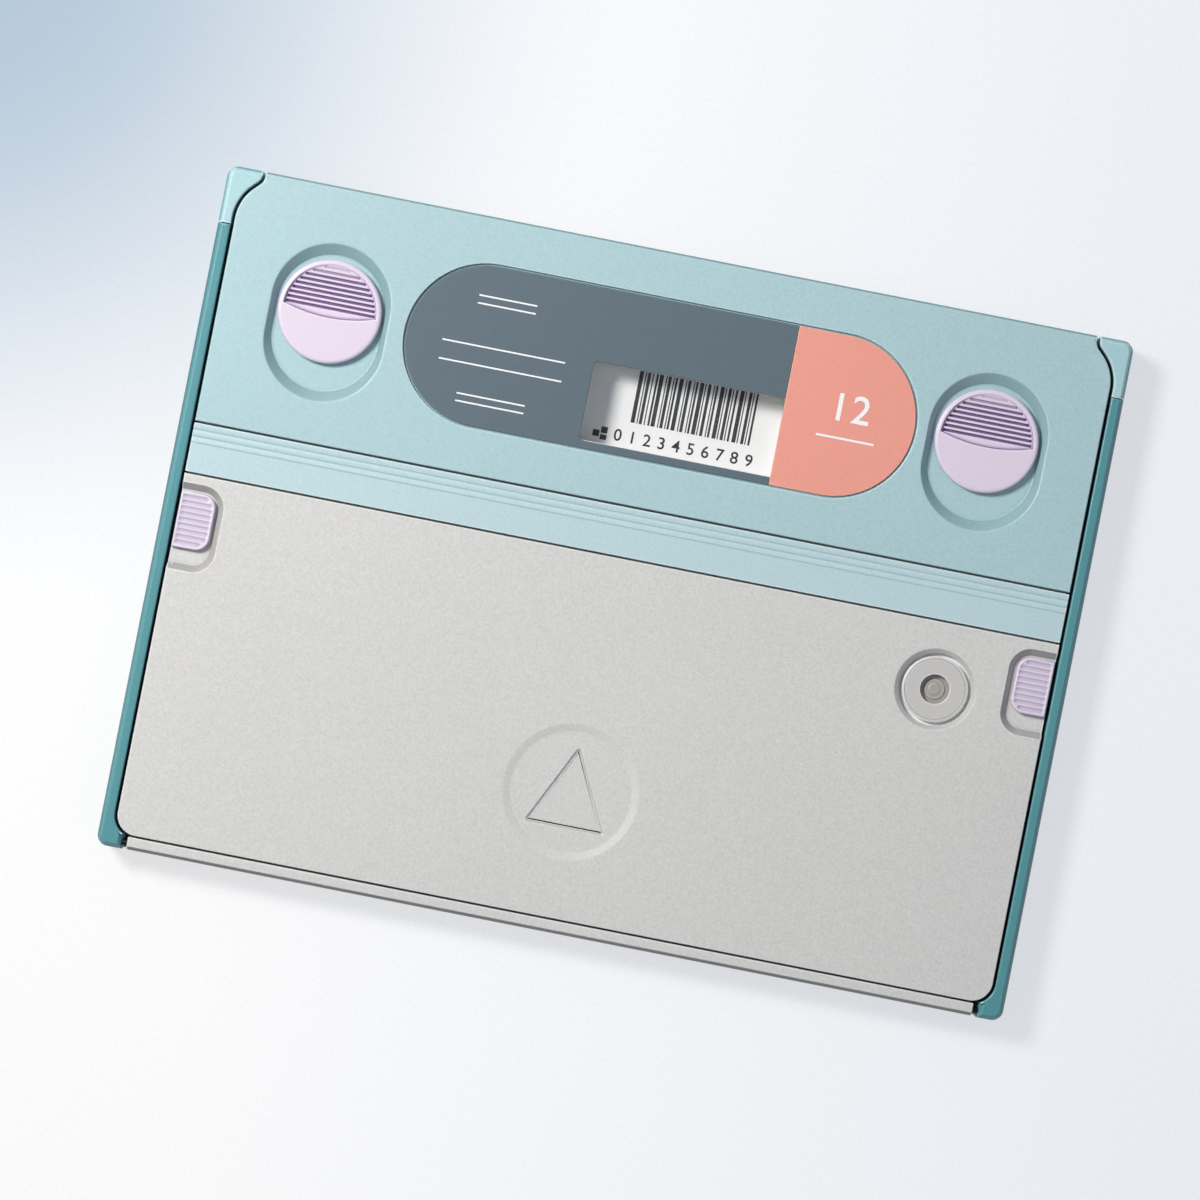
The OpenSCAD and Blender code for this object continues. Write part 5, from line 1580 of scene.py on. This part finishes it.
@dataclass(frozen=True)
class ReleasePort:
    """The round bush in the panel and the plunger in it."""

    flange: Point = (1.7, 1.0)
    disc: float = 1.6
    shoulder: Point = (0.9, 0.5)
    wall: float = 3.06
    bore: float = 4.2
    bore_round: float = 0.3
    skirt: float = 0.9

    def build(self, places: Places) -> None:
        """Spins both turned pieces."""
        bush, plunger = Extent.of("port_bush"), Extent.of("plunger")
        cx, cy = bush.mid
        outer = (bush.x1 - bush.x0) / 2
        disc = outer - self.flange[0] - 0.2
        bore, skirt = self.bore, outer - self.skirt
        top, foot = bush.z1, bush.z0
        body = disc - 0.4
        cavity = disc - self.wall + 0.06
        ledge = top - self.disc
        run, drop = self.shoulder
        soft = self.bore_round
        mould = Mould()
        mould.turned([
            (bore, ledge), (bore, top - soft), (bore + soft * 0.3, top - soft * 0.3), (bore + soft, top),
            (disc - run - 0.35, top), (disc - run - 0.2, top - 0.12), (disc - run, top),
            (disc - 0.25, top - drop * 0.4), (disc - 0.27, top - drop), (disc - 0.22, top - drop - 0.2),
            (disc - 0.22, ledge - 0.4), (skirt, ledge - 0.4), (skirt, places.skin_low),
            (outer, places.skin_low),
            (outer, places.skin_low - self.flange[1]), (body, places.skin_low - self.flange[1]), (body, foot),
            (cavity, foot), (cavity, ledge - 0.6), (bore + 0.6, ledge - 0.6), (bore + 0.6, ledge),
            (bore, ledge)],
            cx, cy, 120)
        mould.piece("release_bush", PORT_GREY, Body.LID, "port_grey", ["port_bush"], 35.0)
        mould = Mould()
        low, high = plunger.z0, plunger.z1
        wide = (plunger.x1 - plunger.x0) / 2
        collar = low + 0.7
        mould.turned([
            (0, low), (wide, low), (wide, collar - 0.1), (wide - 0.1, collar), (3.05, collar),
            (2.9, collar + 0.1),
            (2.9, high - 0.32), (2.75, high - 0.2), (1.9, high - 0.2), (1.6, high - 0.12), (1.45, high),
            (0, high)],
            cx, cy, 72)
        mould.piece("release_plunger", PLUNGER_GREY, Body.PLUNGER, "plunger_grey", ["plunger"], 35.0)


@dataclass(frozen=True)
class LabelPanel:
    """The slate label with its window, the salmon size tag, the print and the window's lens."""

    edge: float = 0.18
    window_corner: float = 1.5
    window_edge: float = 0.8
    ink: float = 0.02
    bold: float = 0.06

    def build(self) -> None:
        """Builds label, tag, lens and print."""
        label, tag, lens = Extent.of("label_plate"), Extent.of("size_tag"), Extent.of("window_lens")
        top, low = label.z1, label.z0
        radius = (label.y1 - label.y0) / 2
        middle = (label.y0 + label.y1) / 2
        x0, wy0, wy1 = lens.x0 + self.window_edge, lens.y0 + self.window_edge, lens.y1 - self.window_edge
        corner = self.window_corner
        plate = (arc(label.x0 + radius, middle, radius, 90, 270, 48) + [(label.x1, label.y0), (label.x1, wy0)]
                 + arc(x0 + corner, wy0 + corner, corner, 270, 180, 6)
                 + arc(x0 + corner, wy1 - corner, corner, 180, 90, 6)
                 + [(label.x1, wy1), (label.x1, label.y1)])
        self.slab("slate_label", plate, low, top, LABEL_SLATE, "label_slate", "label_plate")
        salmon = arc(tag.x1 - radius, middle, radius, -90, 90, 48) + [(tag.x0, tag.y1), (tag.x0, tag.y0)]
        self.slab("salmon_tag", salmon, low, top, TAG_SALMON, "tag_salmon", "size_tag")
        mould = Mould()
        mould.block(lens.x0, lens.x1, lens.y0, lens.y1, lens.z0, lens.z1, 0.08)
        mould.piece("window_pane", CLEAR_WINDOW, Body.LID, "lens", ["window_lens"])
        self.write_lines(top)
        digits = self.number("12", 11.5, (tag.x0 + 19.0, middle + 2.2), top, "tag_number")
        digits.data.materials.append(PRINT_WHITE.material())
        dress(digits, Body.LID, [])
        mould = Mould()
        mould.block(tag.x0 + 10.5, tag.x0 + 27.5, middle - 6.6, middle - 6.0, top, top + self.ink)
        mould.piece("tag_rule", PRINT_WHITE, Body.LID, "label_paper")

    def slab(self, name: str, outline: Outline, low: float, top: float, finish: Finish, slot: str,
             node: str) -> None:
        """Builds a thin flat piece with a soft upper edge."""
        mould = Mould()
        base = mould.ring(outline, low)
        mould.cap(base)
        flat = mould.wrap(base, outline, outer_round(self.edge, top, 3) + [(self.edge + 0.4, top)])
        mould.cap(flat)
        mould.piece(name, finish, Body.LID, slot, [node])

    def write_lines(self, top: float) -> None:
        """Prints plain write-in lines on the slate label."""
        mould = Mould()
        lines = ((-55.0, -38.0, 76.5), (-55.0, -38.0, 74.2), (-63.0, -27.0, 62.0), (-63.0, -27.0, 56.5),
                 (-56.0, -36.0, 47.6), (-56.0, -36.0, 45.4))
        for x0, x1, y in lines:
            mould.block(x0, x1, y, y + 0.45, top, top + self.ink)
        mould.piece("write_in_lines", PRINT_WHITE, Body.LID, "label_paper")

    def number(self, text: str, size: float, place: Point, z: float, name: str) -> bpy.types.Object:
        """Makes plain digits as a thin mesh.

        Args:
            text: The digits.
            size: Height of the type.
            place: Middle of the digits.
            z: Height that they lie on.
            name: Name of the piece.

        Returns:
            The object, without a material or a body yet.
        """
        curve = bpy.data.curves.new(name, "FONT")
        curve.body = text
        curve.size = size
        curve.align_x, curve.align_y = "CENTER", "CENTER"
        curve.extrude = self.ink / 2
        curve.resolution_u = 4
        curve.offset = self.bold
        curve.space_character = 1.1
        source = linked(name + "_type", curve)
        bpy.context.view_layer.update()
        mesh = bpy.data.meshes.new_from_object(source.evaluated_get(bpy.context.evaluated_depsgraph_get()))
        bpy.data.objects.remove(source)
        mesh.transform(Matrix.Translation((*place, z + self.ink / 2)))
        mesh.transform(Matrix.Scale(MM, 4))
        mesh.name = name
        return linked(name, mesh)


@dataclass(frozen=True)
class PlateSticker:
    """The paper label on the imaging plate, with generic bars and digits."""

    paper: float = 0.1
    ink: float = 0.02

    def build(self) -> None:
        """Builds the paper, its bars, its square mark and its digits."""
        label = Extent.of("plate_label")
        lens = Extent.of("window_lens")
        x0, x1, y0, y1 = label.x0, label.x1, label.y0, label.y1 - 9.3
        low = label.z0
        code_x0, code_x1 = lens.x0 + 14.0, lens.x0 + 50.0
        code_y0, code_y1 = lens.y0 + 9.0, label.y1
        mould = Mould()
        paper = mould.ring(rounded_box(x0, x1, y0, y1, 1.0, 4), low)
        mould.cap(paper)
        mould.cap(mould.loft(paper, [(rounded_box(x0, x1, y0, y1, 1.0, 4), low + self.paper)]))
        mould.block(code_x0 - 0.7, code_x1 + 0.7, y1, code_y1, low, low + self.paper)
        mould.piece("plate_sticker", LABEL_PAPER, Body.TRAY, "label_paper", ["plate_label"])
        mould = Mould()
        top = low + self.paper
        x = code_x0 + 0.4
        step = 0
        while x < code_x1 - 1.0:
            bar = 0.34 + 0.28 * ((step * 7 + 3) % 5 % 4)
            space = 0.34 + 0.2 * ((step * 5 + 1) % 7 % 3)
            mould.block(x, min(x + bar, code_x1 - 0.2), code_y0, code_y1 - 0.6, top, top + self.ink)
            x += bar + space
            step += 1
        mark_x, mark_y = lens.x0 + 4.2, lens.y0 + 3.2
        mould.block(mark_x, mark_x + 1.9, mark_y, mark_y + 1.9, top, top + self.ink)
        mould.block(mark_x + 2.3, mark_x + 4.2, mark_y + 1.2, mark_y + 3.1, top, top + self.ink)
        mould.block(mark_x + 2.3, mark_x + 4.2, mark_y - 0.7, mark_y + 0.8, top, top + self.ink)
        mould.piece("plate_bars", PRINT_BLACK, Body.TRAY, "label_paper")
        digits = LabelPanel(ink=self.ink).number("0 1 2 3 4 5 6 7 8 9   12", 4.9,
                                                 (lens.x0 + 36.0, lens.y0 + 4.5),
                                                 top, "plate_digits")
        digits.data.materials.append(PRINT_BLACK.material())
        dress(digits, Body.TRAY, [])


@dataclass(frozen=True)
class SoftInsides:
    """The foam pad in the lid, and the felt and the light seal in the tray."""

    soft: float = 0.9
    seal_width: float = 0.8

    def build(self) -> None:
        """Builds the pad round the window's shroud, with soft pressed edges."""
        pad, shroud = Extent.of("pressure_pad"), Extent.of("window_shroud")
        mould = Mould()
        outline = rounded_box(pad.x0, pad.x1, pad.y0, pad.y1, 2.0, 6)
        hole = rounded_box(shroud.x0 - 0.2, shroud.x1 + 0.2, shroud.y0 - 0.2, shroud.y1 + 0.2, 0.4, 3)
        top = mould.ring(outline, pad.z1)
        mouth = mould.ring(hole, pad.z1)
        mould.cap(top, mouth)
        face = mould.wrap(top, outline,
                          [(0, pad.z0 + self.soft), (0.12, pad.z0 + 0.45), (0.45, pad.z0 + 0.12),
                                         (self.soft, pad.z0), (self.soft + 1.5, pad.z0)])
        inner = mould.wrap(mouth, hole, [(0, pad.z0 + 0.5), (-0.15, pad.z0 + 0.15), (-0.5, pad.z0)])
        mould.cap(face, inner)
        piece = mould.piece("foam_pad", PAD_FOAM, Body.LID, "pad_foam", ["pressure_pad"])
        self.felt()
        self.seal()

    def felt(self) -> None:
        """Lays the thin felt under the plate, its edges softened."""
        felt = Extent.of("front_felt")
        mould = Mould()
        outline = rounded_box(felt.x0, felt.x1, felt.y0, felt.y1, 1.2, 5)
        soft = (felt.z1 - felt.z0) / 3
        base = mould.ring(inset(outline, soft), felt.z0)
        mould.cap(base)
        mould.cap(mould.wrap(base, outline, [(0, felt.z0 + soft), (0, felt.z1 - soft), (soft, felt.z1),
                                             (soft + 1.0, felt.z1)]))
        piece = mould.piece("laid_felt", FELT, Body.TRAY, "felt", ["front_felt"])

    def seal(self) -> None:
        """Runs the crowned foam cord round the pocket's rim."""
        seal = Extent.of("light_seal")
        mould = Mould()
        outer = rounded_box(seal.x0, seal.x1, seal.y0, seal.y1, 0.8, 4)
        width = self.seal_width
        crown = [(0, seal.z0), (0, seal.z1 - 0.22), (width * 0.12, seal.z1 - 0.07), (width * 0.32, seal.z1),
                 (width * 0.68, seal.z1), (width * 0.88, seal.z1 - 0.07), (width, seal.z1 - 0.22),
                 (width, seal.z0)]
        first = mould.ring(outer, seal.z0)
        last = mould.wrap(first, outer, crown[1:])
        bmesh.ops.bridge_loops(mould.mesh, edges=mould.edges(first) + mould.edges(last))
        mould.piece("foam_seal", SEAL_FOAM, Body.TRAY, "felt", ["light_seal"])


class Studio:
    """Floor, lamps and camera."""

    image: float = 1200.0
    middle: Point = (615.35, 593.33)
    pixels_per_mm: float = 3.476
    roll: float = 11.15
    lens: float = 135.0
    sensor: float = 36.0
    # Painted shade on the floor: slightly darker to the right, and a darker bluish patch at the image's upper
    # left.
    floor_left: str = "fafafb"
    floor_right: str = "eef1f6"
    floor_shade_colour: str = "b0c2d3"
    floor_glow: float = 0.72
    floor_half: float = 4.0
    side_fade: Point = (-0.12, 0.15)
    shade_patch_at: tuple[float, float, float] = (-0.2, 0.2, 0.0)
    shade_patch_fade: Point = (0.03, 0.22)
    room_light: float = 0.3
    far: float = 10.0

    def axes(self) -> tuple[Vector, Vector]:
        """The image's right and up directions in the frame's plan."""
        turn = math.radians(self.roll)
        return Vector((math.cos(turn), math.sin(turn), 0)), Vector((-math.sin(turn), math.cos(turn), 0))

    def camera(self, face: float) -> None:
        """Places the camera straight above the case, turned by the photograph's roll."""
        right, up = self.axes()
        off = (Vector(self.middle) - Vector((self.image / 2, self.image / 2))) / self.pixels_per_mm
        centre = -(right * off.x - up * off.y)
        width = self.image / self.pixels_per_mm
        height = width * self.lens / self.sensor + face
        data = bpy.data.cameras.new("camera")
        data.lens = self.lens
        data.sensor_width = self.sensor
        data.clip_end = self.far
        camera = linked("camera", data)
        camera.location = Vector((centre.x, centre.y, height)) * MM
        camera.rotation_euler = (0, 0, math.radians(self.roll))
        bpy.context.scene.camera = camera

    def lamp(self, name: str, across: float, up: float, height: float, size: float, watts: float,
             colour: str = "ffffff") -> None:
        """Adds a soft square lamp that looks at the case.

        Args:
            name: Name of the lamp.
            across: Place along the image's right, in metres.
            up: Place along the image's up, in metres.
            height: Height above the floor, in metres.
            size: Side of the lamp, in metres.
            watts: Power.
            colour: Colour as six digits.
        """
        right, upwards = self.axes()
        data = bpy.data.lights.new(name, "AREA")
        data.energy = watts
        data.size = size
        data.color = linear(colour)[:3]
        lamp = linked(name, data)
        place = right * across + upwards * up + Vector((0, 0, height))
        lamp.location = place
        lamp.rotation_euler = (-place).to_track_quat("-Z", "Y").to_euler()

    def floor(self) -> None:
        """Lays the pale floor, which keeps the case's shadow, with painted shade: a darker bluish patch
        towards the image's upper left and a slightly darker right side.
        """
        mesh = bmesh.new()
        bmesh.ops.create_grid(mesh, x_segments=1, y_segments=1, size=self.floor_half)
        data = bpy.data.meshes.new("studio_floor")
        mesh.to_mesh(data)
        mesh.free()
        floor = linked("studio_floor", data)
        material = bpy.data.materials.new("floor_paper")
        material.use_nodes = True
        tree = Tree(material.node_tree)
        place = tree.add("TexCoord")
        turned = tree.add("Mapping", {"Vector": place.outputs["Object"],
                                      "Rotation": (0.0, 0.0, -math.radians(self.roll))})
        split = tree.add("SeparateXYZ", {"Vector": turned.outputs["Vector"]})
        left, right = self.side_fade
        near, wide = self.shade_patch_fade
        across = tree.add("MapRange", {"Value": split.outputs["X"], "From Min": left, "From Max": right})
        corner = tree.add("VectorMath", {0: turned.outputs["Vector"], 1: self.shade_patch_at},
                          operation="DISTANCE")
        shade_patch = tree.add("MapRange", {"Value": corner.outputs["Value"], "From Min": near, "From Max": wide,
                                     "To Min": 1.0, "To Max": 0.0}, interpolation_type="SMOOTHSTEP")
        fibre = tree.add("TexNoise", {"Vector": place.outputs["Object"], "Scale": 900.0, "Detail": 2.0})
        # Painted shade: darker to the right, then the bluish patch at the upper left.
        plain = tree.mix(across.outputs["Result"], linear(self.floor_left), linear(self.floor_right))
        shaded = tree.mix(shade_patch.outputs["Result"], plain, linear(self.floor_shade_colour))
        speck = tree.math("ADD", tree.math("MULTIPLY", fibre.outputs["Fac"], 0.08), 0.96)
        grey = tree.add("CombineColor", {"Red": speck, "Green": speck, "Blue": speck})
        seen = tree.mix(1.0, shaded, grey.outputs["Color"], "MULTIPLY")
        shader = tree.add("BsdfPrincipled", {"Base Color": seen, "Roughness": 0.9, "Specular IOR Level": 0.1})
        glow = tree.add("Emission", {"Color": seen, "Strength": 1.0})
        path = tree.add("LightPath")
        direct = tree.math("MAXIMUM", path.outputs["Is Camera Ray"],
                           tree.math("MAXIMUM", path.outputs["Is Glossy Ray"],
                                     path.outputs["Is Transmission Ray"]))
        share = tree.math("MULTIPLY", direct, self.floor_glow)
        both = tree.add("MixShader", {0: share, 1: shader.outputs["BSDF"], 2: glow.outputs["Emission"]})
        tree.add("OutputMaterial", {"Surface": both.outputs["Shader"]})
        data.materials.append(material)

    def world(self, strength: float) -> None:
        """Lights the room evenly with a pale world."""
        world = bpy.data.worlds.new("pale_room")
        world.use_nodes = True
        tree = Tree(world.node_tree)
        back = tree.add("Background", {"Color": linear("eef3fa"), "Strength": strength})
        tree.add("OutputWorld", {"Surface": back.outputs["Background"]})
        bpy.context.scene.world = world

    def build(self, places: Places) -> None:
        """Sets up the whole studio."""
        self.camera(places.face)
        self.floor()
        self.world(self.room_light)
        self.lamp("key", -0.54, 0.44, 0.86, 0.26, 11.6, "fffdfa")
        self.lamp("fill", 1.2, -0.5, 1.4, 1.2, 3.0, "e2edff")
        bpy.context.scene.view_settings.view_transform = "Standard"


def dress_nodes() -> None:
    """Gives every CAD node that stays its finish."""
    finishes = dict(NODE_FINISHES)
    for side in Side:
        finishes.update({f"{name}_{side.name.lower()}": finish for name, finish in SIDED_FINISHES.items()})
    for name, finish in finishes.items():
        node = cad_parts[name]
        node.data.materials.clear()
        node.data.materials.append(finish.material())
        LOG.info("%s wears %s", name, finish.name)


def main() -> None:
    """Builds the studio, the sub-assemblies and their finishes."""
    logging.basicConfig(level=logging.INFO, format="%(name)s: %(message)s")
    places = Places()
    Studio().build(places)
    UpperCover().build(places)
    RidgeStrip().build(places)
    BackPanel().build(places)
    HingeSpine().build(places)
    CaseEdge().build(places)
    for side in Side:
        ThumbKnob().build(side, places)
        SideButton().build(side, places)
    ReleasePort().build(places)
    LabelPanel().build()
    PlateSticker().build()
    SoftInsides().build()
    CrossScrews().build("rim_screws", Body.TRAY, 6.0)
    CrossScrews().build("lid_screws", Body.LID, 4.4)
    CrossScrews().build("hinge_screws", Body.LID, 4.4)
    dress_nodes()


if __name__ == "__main__":
    main()
